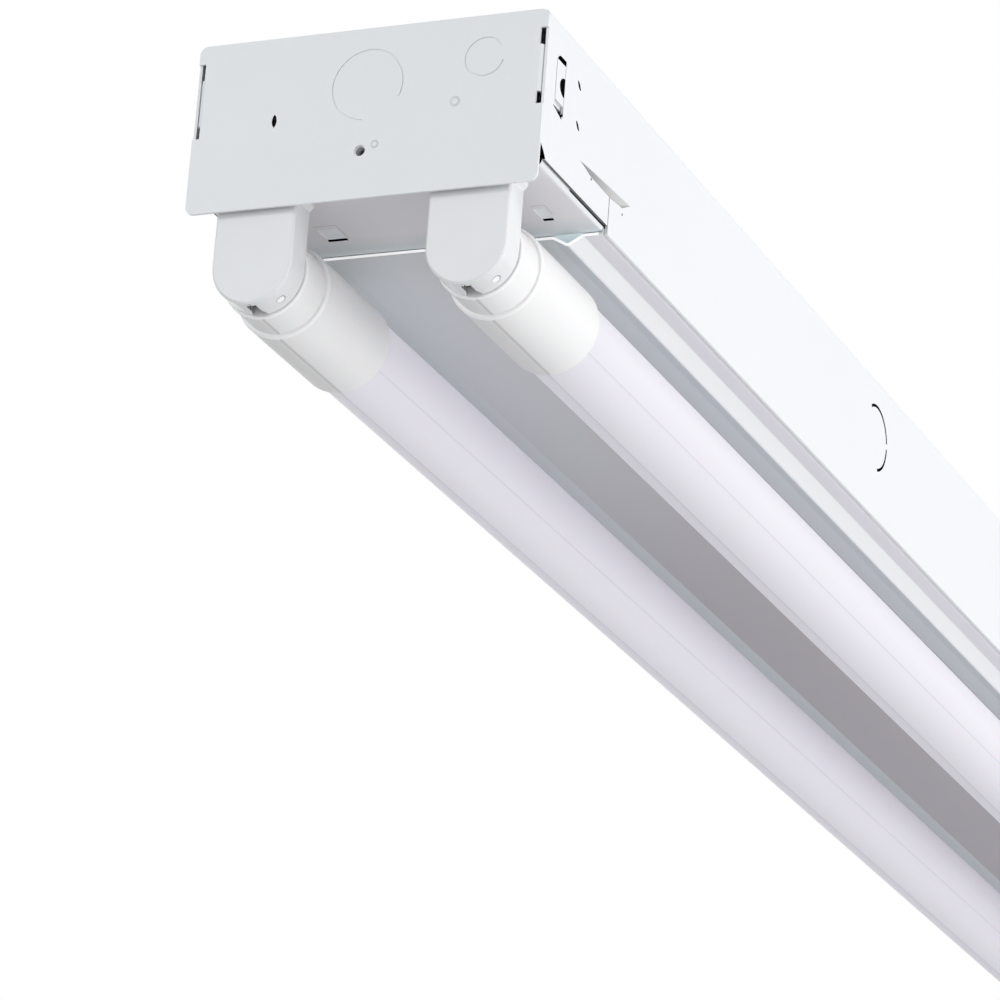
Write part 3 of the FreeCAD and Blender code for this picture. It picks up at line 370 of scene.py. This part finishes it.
def dark_places(g):
    """1 where shade is painted, as no light gets in: crevices, snap tab, knockout slit, lances, lip
    dots.
    """
    dark = g.blocks(CREVICES) + g.blocks(TURNED_CREVICES, turned=True)
    bite = distance((g.along - BITE[0] * MM) / BITE_HALVES[0], (g.z - BITE[1] * MM) / BITE_HALVES[1])
    dark = dark + bite.below(MM) * g.block(*BITE_BLOCK)
    line = CRESCENT_LINE[0] * MM + CRESCENT_LINE[1] * g.along
    crescent = abs(g.z - line).below(CRESCENT_WIDTH[1] * (g.along - CRESCENT_WIDTH[0] * MM))
    dark = dark + crescent * g.block(*CRESCENT_BLOCK)
    ring = distance(g.along - KNOCKOUT[0] * MM, g.z - KNOCKOUT[1] * MM)
    near_end = g.y.below(0.0)
    dark = dark + within(ring, *KNOCKOUT_SLIT) * g.blocks(KNOCKOUT_ARCS) * near_end
    wall = g.sideways.above(WALL_FACE * MM)
    for start, top in LANCES:
        part = (g.along - start * MM) / (LANCE_RUN[0] * MM)
        middle = top * MM + (LANCE_RUN[1] * MM) * part
        half = (4 * LANCE_HALF_HEIGHT * MM) * part * (1.0 - part)
        dark = dark + wall * (half - abs(g.z - middle)).above(0.0)
    # painted shade: dark dots by the lip's low edge
    for start, up in LIP_DARK_DOTS:
        dark_dot = distance(g.along - start * MM, g.z - up * MM).below(LIP_DARK_DOT_RADIUS * MM)
        dark = dark + wall * dark_dot
    return dark.math("MINIMUM", 1.0)


def dimple_depth(g):
    """Depth in metres of the round dimples pressed into both end plates."""
    plate = abs(g.y).above(CAD_BOX[1][1] - PLATE_FACE * MM)
    depths = []
    for across, up, radius in DIMPLES:
        far = distance(g.turned - across * MM, g.z - up * MM)
        share = 1.0 - far.smooth(0.4 * radius * MM, radius * MM)
        depths.append((DIMPLE_DEPTH * MM) * plate * share)
    return sum(depths[1:], depths[0])


def enamelled_steel():
    """White enamel, faint orange peel; painted shade in crevices, painted glow at cut edge and rib
    mouths.
    """
    g = Graph("enamelled_steel", Roughness=0.34, Coat_Weight=0.25, Coat_Roughness=0.12,
              Emission_Strength=1.0)
    # painted shade: black where no light gets in
    dark = dark_places(g)
    g.blacken(dark)
    g.set("Base Color", g.mix(dark, enamel_colour(g), grey(0.012)))
    # painted light: a glow over the rib's mouth and on the cover's cut edge
    glow = g.mix(g.block(*RIB_MOUTH), grey(0.0), RIB_MOUTH_PAINTED_LIGHT)
    g.set("Emission Color", g.mix(g.block(*COVER_CUT_EDGE_HIGHLIGHT), glow, grey(0.45)))
    g.set("Roughness", 0.28 + 0.12 * g.noise(40.0, 2.0))
    g.bump(g.noise(420.0, 2.0) * (0.012 * MM) - dimple_depth(g))
    return g.material


# Places on a lampholder and a lamp, in millimetres; across and up from the lamp axis.
MOUTH_ACROSS = 2.75            # to both sides
MOUTH_TOP = -3.0
MOUTH_ALONG = (3.4, 11.8)
MOUTH_REACH = 12.2             # from the lamp axis
MOUTH_RIB = 1.5                # one rib and one groove, along
PIT = (7.7, -9.7, 8.0)         # turned across, up and along
PIT_EDGE = (1.1, 1.6)          # radius of its floor and of its rim
PIT_DEPTH = 0.6
# painted highlights on the rims of collar and sleeve
CAP_RIM_HIGHLIGHTS = ((23.9, 25.0), (-1.0, 12.9))    # along: bright rims of collar and sleeve
SEAM_START = (-0.9, 0.0)       # across: where the parting line of a cap sets in
SEAM_STOP = (0.1, 0.8)         # and where it fades
TUBE_LOW_LINE = (-1.8, -1.35)  # across: a darker line along the tube's underside
TUBE_SIDE_LINE = (-7.7, -7.3)  # up: the line on its side


def holder_plastic():
    """Glossy white moulded plastic, painted shade in the ribbed mouth and a painted highlight in a
    round pit.
    """
    g = Graph("holder_plastic", Roughness=0.2, Coat_Weight=0.3, Coat_Roughness=0.08,
              Subsurface_Weight=0.05, Subsurface_Scale=0.002)
    across, up = g.beside_axis()
    # painted shade: the mouth darkened, with ribs
    mouth = within(across, -MOUTH_ACROSS, MOUTH_ACROSS) * up.below(MOUTH_TOP * MM)
    mouth = mouth * within(g.along, *MOUTH_ALONG) * distance(across, up).below(MOUTH_REACH * MM)
    ribs = (g.along * (2 * pi / (MOUTH_RIB * MM))).math("SINE").above(0.2)
    far = distance(-(across * g.y.math("SIGN")) - PIT[0] * MM, up - PIT[1] * MM,
                   g.along - PIT[2] * MM)
    pit = 1.0 - far.smooth(PIT_EDGE[0] * MM, PIT_EDGE[1] * MM)
    colour = g.mix(g.noise(60.0), grey(0.80, -0.012), grey(0.84, -0.008))
    # painted highlight in the pit
    colour = g.mix(pit, colour, grey(1.0))
    g.set("Base Color", g.mix(mouth * (0.6 + 0.4 * ribs), colour, grey(0.06)))
    g.set("Roughness", 0.18 + 0.08 * g.noise(150.0))
    g.bump(g.noise(260.0) * (0.01 * MM) - pit * (PIT_DEPTH * MM))
    return g.material


def cap_plastic():
    """Satin white plastic, fine moulding marks, a parting line below; painted shade and rim
    highlights.
    """
    g = Graph("cap_plastic", Roughness=0.38, Subsurface_Weight=0.08, Subsurface_Scale=0.002)
    streak = g.noise(220.0, 2.0, (1, 0.1, 1))
    across, up = g.beside_axis()
    down = up.below(0.0)
    left = 1.0 - across.smooth(-1.6 * MM, 0.4 * MM)
    seam = down * across.smooth(SEAM_START[0] * MM, SEAM_START[1] * MM)
    seam = seam * (1.0 - across.smooth(SEAM_STOP[0] * MM, SEAM_STOP[1] * MM))
    rims = within(g.along, *CAP_RIM_HIGHLIGHTS[0]) + within(g.along, *CAP_RIM_HIGHLIGHTS[1])
    colour = g.mix(streak, grey(0.88), grey(0.92))
    # painted shade: the lower left of the cap, away from the light, is darker
    colour = g.mix(0.8 * down * left, colour, grey(0.78, 0.004))
    # painted shade along the parting line, which is also a shallow groove in the bump
    colour = g.mix(0.55 * seam, colour, grey(0.42))
    # painted highlights on the rims
    g.set("Base Color", g.mix(rims, colour, grey(1.0)))
    g.set("Roughness", 0.32 + 0.14 * g.noise(300.0))
    g.bump(streak * (0.02 * MM) - seam * (0.08 * MM))
    return g.material


def frosted_tube():
    """Frosted diffuser, lavender white, evened by a painted glow, with darker lines and painted shade
    below.
    """
    g = Graph("frosted_tube", Roughness=0.42, Subsurface_Weight=0.15, Subsurface_Scale=0.004,
              Emission_Strength=1.0)
    streak = g.noise(160.0, 3.0, (1, 0.02, 1))
    across, up = g.beside_axis()
    down = up.below(0.0)
    low_line = down * within(across, *TUBE_LOW_LINE)
    side_line = across.above(0.0) * within(up, *TUBE_SIDE_LINE)
    # painted shade on the lower left side, beyond the low line
    beyond = down * (1.0 - across.smooth(-1.8 * MM, -1.4 * MM))
    marks = 0.5 * low_line + 0.25 * side_line + 0.2 * beyond
    colour = g.mix(streak, (0.53, 0.52, 0.56, 1), (0.56, 0.55, 0.585, 1))
    g.set("Base Color", g.mix(marks, colour, (0.33, 0.32, 0.37, 1)))
    # painted light: a faint glow that evens the unlit tube's shading
    g.set("Emission Color", g.mix(marks, (0.255, 0.25, 0.275, 1), (0.15, 0.145, 0.17, 1)))
    g.set("Roughness", 0.34 + 0.1 * g.noise(500.0))
    g.bump(streak * (0.02 * MM))
    return g.material


def metal(name, colour, roughness, stretch=(1, 1, 1)):
    """Bare metal with drawing marks along `stretch`."""
    g = Graph(name, Metallic=1.0)
    mark = g.noise(700.0, 3.0, stretch)
    darker = tuple(0.85 * c for c in colour[:3]) + (1.0,)
    g.set("Base Color", g.mix(mark, darker, colour))
    g.set("Roughness", roughness + 0.15 * mark)
    g.bump(mark * (0.01 * MM))
    return g.material


def plain(name, dark, light, roughness, scale=300.0):
    """Moulded or coated stuff whose tone wanders between two colours."""
    g = Graph(name)
    tone = g.noise(scale, 3.0)
    g.set("Base Color", g.mix(tone, dark, light))
    g.set("Roughness", roughness + 0.12 * g.noise(scale * 2))
    g.bump(tone * (0.03 * MM))
    return g.material


def circuit_board():
    """White solder mask with two copper tracks showing through along the board."""
    g = Graph("circuit_board")
    across = abs(g.sideways - LAMP_AXIS[0])
    track = across.smooth(2.6 * MM, 2.9 * MM) * (1.0 - across.smooth(4.2 * MM, 4.5 * MM))
    g.set("Base Color", g.mix(track, grey(0.82), (0.76, 0.74, 0.66, 1)))
    g.set("Roughness", 0.4 + 0.1 * g.noise(400.0))
    g.bump(track * (0.04 * MM))
    return g.material


MATERIALS = {
    "enamelled_steel": enamelled_steel(),
    "holder_plastic": holder_plastic(),
    "cap_plastic": cap_plastic(),
    "frosted_tube": frosted_tube(),
    "pin_metal": metal("pin_metal", (0.8, 0.68, 0.42, 1), 0.22, (1, 0.1, 1)),
    "contact_brass": metal("contact_brass", (0.82, 0.62, 0.3, 1), 0.3, (1, 1, 0.1)),
    "aluminium_rail": metal("aluminium_rail", (0.78, 0.79, 0.8, 1), 0.3, (1, 0.02, 1)),
    "circuit_board": circuit_board(),
    "led_phosphor": plain("led_phosphor", (0.85, 0.68, 0.2, 1), (0.95, 0.8, 0.3, 1), 0.5),
    "driver_parts": plain("driver_parts", (0.03, 0.1, 0.05, 1), (0.05, 0.16, 0.08, 1), 0.4),
    "block_plastic": plain("block_plastic", grey(0.7, 0.01), grey(0.76, 0.01), 0.4),
    "lead_black": plain("lead_black", grey(0.015), grey(0.03), 0.35),
    "lead_white": plain("lead_white", grey(0.68), grey(0.76), 0.35),
    "lead_green": plain("lead_green", (0.01, 0.12, 0.03, 1), (0.02, 0.18, 0.05, 1), 0.35),
    "screw_steel": metal("screw_steel", (0.3, 0.6, 0.36, 1), 0.3),
}
for part in frame["record"]["subparts"]:
    node = frame["nodes"][part["node"]]
    for material_slot in node.material_slots:
        material_slot.material = MATERIALS[part["material_slot"]]


# ------------------------------------------------------------------ drawing helpers
def add_piece(name, mesh, body, slot, replaced=()):
    """An object that rides on a body, stands for CAD nodes and takes the finish of a slot."""
    piece = bpy.data.objects.new(name, mesh)
    bpy.context.scene.collection.objects.link(piece)
    mesh.materials.append(MATERIALS[slot])
    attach(piece, body)
    if replaced:
        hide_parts(*replaced)
    return piece


def rounded(corners, steps=6):
    """A profile from corners (along, radius, rounding), each rounded by an arc of that radius."""
    points = []
    for i, (a, b, radius) in enumerate(corners):
        here = np.array((a, b))
        if not radius:
            points.append(here)
            continue
        back = np.array(corners[i - 1][:2]) - here
        ahead = np.array(corners[i + 1][:2]) - here
        back /= np.linalg.norm(back)
        ahead /= np.linalg.norm(ahead)
        half = np.arccos(np.clip(back @ ahead, -1, 1)) / 2
        start = here + back * radius / np.tan(half)
        stop = here + ahead * radius / np.tan(half)
        middle = back + ahead
        centre = here + middle / np.linalg.norm(middle) * radius / np.sin(half)
        first, last = start - centre, stop - centre
        swing = np.arccos(np.clip(first @ last / radius ** 2, -1, 1))
        for t in np.linspace(0, 1, steps):
            points.append(centre + (np.sin((1 - t) * swing) * first
                                    + np.sin(t * swing) * last) / np.sin(swing))
    return np.array(points)


def lathe(name, profile, axis, origin, way):
    """A surface of revolution about a line along Y.

    Point (i, j) lies at along = origin + way * a_j, and at radius r_j and angle 2 pi i / AROUND
    from the axis, for the profile's points (a_j, r_j). A profile that starts and ends on the axis
    is closed by one point at each end, and any other is closed into a ring.
    """
    along, radius = profile.T
    capped = radius[0] < 1e-9 and radius[-1] < 1e-9
    if capped:
        along_rings, radius_rings = along[1:-1], radius[1:-1]
    else:
        along_rings, radius_rings = along, radius
    turn = 2 * pi * np.arange(AROUND) / AROUND
    rings = len(radius_rings)
    x = axis[0] + radius_rings[:, None] * np.cos(turn)
    z = axis[1] + radius_rings[:, None] * np.sin(turn)
    y = np.repeat((origin + way * along_rings)[:, None], AROUND, 1)
    points = np.stack([x, y, z], -1).reshape(-1, 3)
    ring, step = np.meshgrid(np.arange(rings - capped), np.arange(AROUND), indexing="ij")
    following = (step + 1) % AROUND
    after = (ring + 1) % rings
    faces = np.stack([ring * AROUND + step, ring * AROUND + following,
                      after * AROUND + following, after * AROUND + step], -1).reshape(-1, 4).tolist()
    if capped:
        ends = [[axis[0], origin + way * along[i], axis[1]] for i in (0, -1)]
        points = np.concatenate([points, ends])
        start = np.arange(AROUND)
        ahead = (start + 1) % AROUND
        for middle, first in ((len(points) - 2, 0), (len(points) - 1, (rings - 1) * AROUND)):
            fan = np.stack([np.full(AROUND, middle), first + start, first + ahead], -1)
            faces += fan.tolist()
    return smoothed(outward_mesh(name, points, faces))


def outward_mesh(name, points, faces):
    """A mesh of closed shells, with its faces turned outwards."""
    mesh = bpy.data.meshes.new(name)
    mesh.from_pydata(points.tolist(), [], faces)
    made = bmesh.new()
    made.from_mesh(mesh)
    bmesh.ops.recalc_face_normals(made, faces=made.faces)
    made.to_mesh(mesh)
    made.free()
    return mesh


def smoothed(mesh):
    """The mesh, shaded smooth but for its sharp edges."""
    mesh.shade_smooth()
    mesh.set_sharp_from_angle(angle=SHARP_ANGLE)
    return mesh


def joined_mesh(name, meshes):
    """One mesh with the faces of several."""
    made = bmesh.new()
    for mesh in meshes:
        made.from_mesh(mesh)
    whole = bpy.data.meshes.new(name)
    made.to_mesh(whole)
    made.free()
    return smoothed(whole)


def whole_copy(node):
    """A CAD node's triangles as a mesh being made, joined where they meet."""
    made = bmesh.new()
    made.from_mesh(frame["nodes"][node].data)
    bmesh.ops.remove_doubles(made, verts=made.verts, dist=1e-6)
    return made


def softened(node, name, width, body, slot):
    """A copy of a CAD node with its flat faces made whole and its sharp edges rounded."""
    made = whole_copy(node)
    bmesh.ops.dissolve_limit(made, angle_limit=radians(1.0), verts=made.verts, edges=made.edges)
    mesh = bpy.data.meshes.new(name)
    made.to_mesh(mesh)
    made.free()
    piece = add_piece(name, smoothed(mesh), body, slot, [node])
    bevel = piece.modifiers.new("soft_edges", "BEVEL")
    bevel.width = width
    bevel.segments = 3
    bevel.limit_method = "ANGLE"
    bevel.angle_limit = radians(40)
    bevel.harden_normals = True


# ------------------------------------------------------------------ redrawn pieces
def lamp_line(node):
    """The lamp axis (across, up) and the outer radius of a node that lies round it."""
    low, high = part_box(node)
    return ((low.x + high.x) / 2, (low.z + high.z) / 2), (high.x - low.x) / 2


def draw_caps(side):
    """The two end caps: a collar with a rounded base, a bevelled rim and a sleeve with a lip."""
    node = f"lamp_{side}_caps"
    axis, radius = lamp_line(node)
    low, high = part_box(node)
    bore_radius = lamp_line(f"lamp_{side}_tube")[1] + TUBE_FIT
    step = COLLAR_LENGTH
    stop = step + CAP_STOP
    profile = rounded([
        (0, 0, 0), (0, COLLAR_RADIUS, CAP_ROUND), (step, COLLAR_RADIUS, 0.25 * MM),
        (step, radius - 0.5 * MM, 0.2 * MM), (step + CAP_CHAMFER, radius, 0.3 * MM),
        (CAP_LENGTH, radius, CAP_ROUND), (CAP_LENGTH, bore_radius, 0.15 * MM),
        (stop, bore_radius, 0), (stop, 0, 0)])
    mesh = joined_mesh(f"caps_{side}", [lathe("near_cap", profile, axis, low.y, 1),
                                        lathe("far_cap", profile, axis, high.y, -1)])
    add_piece(mesh.name, mesh, "lamp_" + side, "cap_plastic", [node])


def draw_tube(side):
    """The frosted tube, open at both ends: a ring profile turned about the lamp axis."""
    node = f"lamp_{side}_tube"
    axis, radius = lamp_line(node)
    low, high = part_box(node)
    inner = radius - TUBE_WALL
    length = high.y - low.y
    stops = np.linspace(0, length, 25)
    outside = [(a, radius) for a in stops]
    inside = [(a, inner) for a in stops[::-1]]
    mesh = lathe(f"tube_{side}", np.array(outside + inside), axis, low.y, 1)
    add_piece(mesh.name, mesh, "lamp_" + side, "frosted_tube", [node])


# In millimetres, counted as the places on the housing are.
WALL = (53.2, 54.0)            # inside and outside of a side wall, across
CUT_ACROSS = (52.9, 55.0)      # a window in a wall is cut from here to there
DEEP_CUT_ACROSS = (46.0, 55.0)     # the first window takes the pressed-in tongue away as well
LIP = (25.9, 68.4, 2.2)        # where the pressed lip starts and ends, and how deep it is pressed
LIP_TOP = (-33.8, -31.2)       # up, at its start and its end
LIP_LOW = -35.9
LIP_RISE = 12.0                # along, until it has its full depth
# Windows cut in the walls, as outlines (along, up), and the new sheet metal that fills them.
WINDOWS = (
    ((24.5, -31.0), (71.2, -31.0), (71.2, -36.2), (55.2, -36.2), (55.2, -47.5), (24.5, -47.5)),
    ((0.3, -35.0), (9.0, -35.0), (9.0, -45.5), (0.3, -45.5)),
    ((14.7, -9.7), (17.5, -9.7), (17.5, -27.5), (14.7, -27.5)),
    ((26.3, -11.0), (27.5, -11.0), (27.5, -13.8), (26.3, -13.8)),
    ((26.3, -23.5), (27.5, -23.5), (27.5, -26.3), (26.3, -26.3)),
    ((23.5, -11.5), (24.6, -11.7), (26.25, -13.8), (25.3, -13.5)),
    ((24.2, -23.6), (25.1, -23.8), (26.25, -25.9), (25.6, -25.5)),
)
FILLS = (
    ((24.5, -44.4), (24.5, -31.0), (71.2, -31.0), (71.2, -36.2), (55.2, -36.2), (55.2, -46.8),
     (52.35, -46.8), (52.35, -35.5), (61.8, -34.6), (68.4, -31.2), (44.2, -32.8),
     (25.9, -33.8), (29.7, -34.0), (33.7, -34.6), (37.7, -35.3), (51.8, -35.5), (51.8, -44.4)),
    ((0.8, -35.0), (9.0, -35.0), (9.0, -44.4), (4.9, -44.4), (4.2, -43.4), (3.0, -42.2),
     (1.6, -41.2), (0.8, -40.5)),
    ((14.7, -9.7), (17.5, -9.7), (17.5, -27.5), (14.7, -27.5)),
    ((26.3, -11.0), (27.5, -11.0), (27.5, -13.8), (26.3, -13.8)),
    ((26.3, -23.5), (27.5, -23.5), (27.5, -26.3), (26.3, -26.3)),
)
SIDE_WINDOW = ((288.9, -8.5), (312.4, -8.5), (312.4, -31.9), (288.9, -31.9))


def prism(corners, low, high):
    """Points and faces of a prism: corners (along, up), swept across from `low` to `high`."""
    count = len(corners)
    points = [(x, a, b) for x in (low, high) for a, b in corners]
    faces = [list(range(count)), list(range(count, 2 * count))]
    faces += [[i, (i + 1) % count, (i + 1) % count + count, i + count] for i in range(count)]
    return points, faces


def pressed_lip():
    """Points and faces of the lip pressed in above the tongue.

    Its outer face is x = outside - depth(s) * v, z = top(s) - (top(s) - low) * v for v from 0 to
    1, with depth(s) rising from its start and top(s) a straight line. Its inner face lies one
    thickness of the wall further in, and a rim closes the two.
    """
    start, stop, deep = LIP
    s, v = np.meshgrid(np.linspace(start, stop, 61), np.linspace(0, 1, 7), indexing="ij")
    depth = deep * np.clip((s - start) / LIP_RISE + 0.06, 0, 1) ** 0.7
    top = LIP_TOP[0] + (LIP_TOP[1] - LIP_TOP[0]) * (s - start) / (stop - start)
    x = WALL[1] - depth * v
    z = top - (top - LIP_LOW) * v
    outer = np.stack([x, s, z], -1).reshape(-1, 3)
    inner = outer - (WALL[1] - WALL[0], 0, 0)
    place = np.arange(s.size).reshape(s.shape)
    quads = np.stack([place[:-1, :-1], place[:-1, 1:], place[1:, 1:], place[1:, :-1]], -1)
    quads = quads.reshape(-1, 4)
    rim = np.concatenate([place[:-1, 0], place[-1, :-1], place[:0:-1, -1], place[0, :0:-1]])
    ahead = np.roll(rim, -1)
    edge = np.stack([rim, ahead, s.size + ahead, s.size + rim], -1)
    faces = np.concatenate([quads, s.size + quads[:, (0, 3, 2, 1)], edge])
    return np.concatenate([outer, inner]).tolist(), faces.tolist()


def at_corners(name, shapes, near_shapes=()):
    """One mesh with (points, faces) in millimetres from an end, put at all four corners.

    The near shapes are put at the near end only.
    """
    placed, faces, count = [], [], 0
    ends = [(shape, (1, -1)) for shape in shapes] + [(shape, (-1,)) for shape in near_shapes]
    for (points, shape_faces), y_signs in ends:
        x, s, z = np.array(points).T * MM
        for x_sign in (1, -1):
            for y_sign in y_signs:
                placed.append(np.stack([x_sign * x, y_sign * (CAD_BOX[1][1] - s), z], -1))
                faces += [[count + i for i in face] for face in shape_faces]
                count += len(x)
    return outward_mesh(name, np.concatenate(placed), faces)


def recut(node, cutter):
    """A copy of a CAD node's mesh, made whole, with a cutter's mesh taken away from it."""
    made = whole_copy(node)
    whole = bpy.data.meshes.new(node + "_whole")
    made.to_mesh(whole)
    made.free()
    objects = [bpy.data.objects.new(mesh.name, mesh) for mesh in (whole, cutter)]
    for made_object in objects:
        bpy.context.scene.collection.objects.link(made_object)
    cut = objects[0].modifiers.new("cut", "BOOLEAN")
    cut.operation = "DIFFERENCE"
    cut.solver = "EXACT"
    cut.object = objects[1]
    ready = objects[0].evaluated_get(bpy.context.evaluated_depsgraph_get())
    mesh = bpy.data.meshes.new_from_object(ready)
    for made_object in objects:
        bpy.data.objects.remove(made_object)
    mesh.materials.clear()
    return smoothed(mesh)


def draw_housing():
    """The channel with new metal round the tongue, the snap slot, the lances and the knockout."""
    windows = [prism(WINDOWS[0], *DEEP_CUT_ACROSS)]
    windows += [prism(outline, *CUT_ACROSS) for outline in WINDOWS[1:]]
    cutter = at_corners("cutter", windows, [prism(SIDE_WINDOW, *CUT_ACROSS)])
    mesh = recut("housing_channel", cutter)
    mesh.name = "channel"
    piece = add_piece("channel", mesh, "housing", "enamelled_steel", ["housing_channel"])
    normals = piece.modifiers.new("flat_faces", "WEIGHTED_NORMAL")
    normals.keep_sharp = True
    fills = [prism(outline, *WALL) for outline in FILLS]
    mesh = at_corners("wall_details", fills + [pressed_lip()], [prism(SIDE_WINDOW, *WALL)])
    add_piece("wall_details", smoothed(mesh), "housing", "enamelled_steel")


SCREW_HOLE = (-0.9 * MM, -37.8 * MM)      # across and up, at the near end
SCREW_COLLAR = (1.45 * MM, 2.0 * MM)      # inner and outer radius
SCREW_COLLAR_ALONG = (0.6 * MM, 3.4 * MM)


def draw_screw_collars():
    """The short drawn collar behind the screw hole of each end plate: a ring about its axis."""
    inner, outer = SCREW_COLLAR
    start, stop = SCREW_COLLAR_ALONG
    profile = rounded([(start, inner, 0), (stop, inner, 0.1 * MM), (stop, outer, 0.2 * MM),
                       (start, outer, 0)])
    low, high = CAD_BOX[0][1], CAD_BOX[1][1]
    mesh = joined_mesh("screw_collars", [
        lathe("near_collar", profile, SCREW_HOLE, low, 1),
        lathe("far_collar", profile, (-SCREW_HOLE[0], SCREW_HOLE[1]), high, -1)])
    add_piece("screw_collars", mesh, "housing", "enamelled_steel")


draw_screw_collars()
draw_housing()
for side_name in SIDES:
    draw_tube(side_name)
    draw_caps(side_name)
softened("lampholders", "holders", HOLDER_SOFTNESS, "housing", "holder_plastic")


# ------------------------------------------------------------------ stage, light and camera
def stage_floor(size, height):
    """A plain pale floor far below the light."""
    mesh = bpy.data.meshes.new("floor")
    half = size / 2
    mesh.from_pydata([(-half, -half, height), (half, -half, height), (half, half, height),
                      (-half, half, height)], [], [(0, 1, 2, 3)])
    floor = bpy.data.objects.new("floor", mesh)
    bpy.context.scene.collection.objects.link(floor)
    mesh.materials.append(plain("floor_paint", grey(0.8), grey(0.82), 0.6, 3.0))


def soft_light(name, place, target, size, power, colour=(1, 1, 1)):
    """A large square lamp at `place` that points at `target`."""
    light = bpy.data.lights.new(name, "AREA")
    light.shape = "SQUARE"
    light.size = size
    light.energy = power
    light.color = colour
    holder_object = bpy.data.objects.new(name, light)
    bpy.context.scene.collection.objects.link(holder_object)
    holder_object.location = place
    aim = Vector(target) - Vector(place)
    holder_object.rotation_euler = aim.to_track_quat("-Z", "Y").to_euler()


def white_world(strength):
    """A white surround: full white to the camera, dimmer for the light that it gives."""
    world = bpy.data.worlds.new("surround")
    bpy.context.scene.world = world
    world.use_nodes = True
    nodes, links = world.node_tree.nodes, world.node_tree.links
    shown = nodes["Background"]
    shown.inputs["Color"].default_value = (1, 1, 1, 1)
    given = nodes.new("ShaderNodeBackground")
    given.inputs["Color"].default_value = (0.97, 0.98, 1.0, 1)
    given.inputs["Strength"].default_value = strength
    path = nodes.new("ShaderNodeLightPath")
    mix = nodes.new("ShaderNodeMixShader")
    seen = nodes.new("ShaderNodeMath")
    both = nodes.new("ShaderNodeMath")
    links.new(path.outputs["Is Camera Ray"], seen.inputs[0])
    links.new(path.outputs["Is Glossy Ray"], seen.inputs[1])
    links.new(seen.outputs[0], both.inputs[0])
    links.new(path.outputs["Is Transmission Ray"], both.inputs[1])
    both.use_clamp = True
    links.new(both.outputs[0], mix.inputs[0])
    links.new(given.outputs[0], mix.inputs[1])
    links.new(shown.outputs[0], mix.inputs[2])
    links.new(mix.outputs[0], nodes["World Output"].inputs["Surface"])


def photo_camera():
    """The camera at the photograph's place, direction, roll and focal length."""
    back = Vector((sin(CAMERA_AZIMUTH) * cos(CAMERA_ELEVATION),
                   -cos(CAMERA_AZIMUTH) * cos(CAMERA_ELEVATION), sin(CAMERA_ELEVATION)))
    level = (-back).cross(Vector((0, 0, 1))).normalized()
    upright = back.cross(level)
    right = cos(CAMERA_ROLL) * level + sin(CAMERA_ROLL) * upright
    up = cos(CAMERA_ROLL) * upright - sin(CAMERA_ROLL) * level
    data = bpy.data.cameras.new("camera")
    data.sensor_width = SENSOR
    data.lens = FOCAL_PIXELS * SENSOR / PICTURE_PIXELS
    camera = bpy.data.objects.new("camera", data)
    bpy.context.scene.collection.objects.link(camera)
    turn = Matrix((right, up, back)).transposed().to_4x4()
    near_end = Vector((0, CAD_BOX[0][1], 0))
    camera.matrix_world = Matrix.Translation(near_end + CAMERA_PLACE) @ turn
    data.clip_end = 100.0
    bpy.context.scene.camera = camera


NEAR_PART = (0.0, CAD_BOX[0][1] + 0.2, -0.04)      # what the front light points at
stage_floor(40.0, -1.6)
white_world(0.49)
soft_light("side_light", (2.6, -0.5, -0.1), (0, -0.2, -0.04), 2.4, 38)
soft_light("front_light", (-0.8, -3.2, 0.3), NEAR_PART, 2.0, 22, (0.955, 0.985, 1.0))
soft_light("low_light", (1.3, 0.1, -1.45), (0, -0.2, -0.06), 1.6, 11)
photo_camera()
bpy.context.scene.view_settings.view_transform = "Standard"
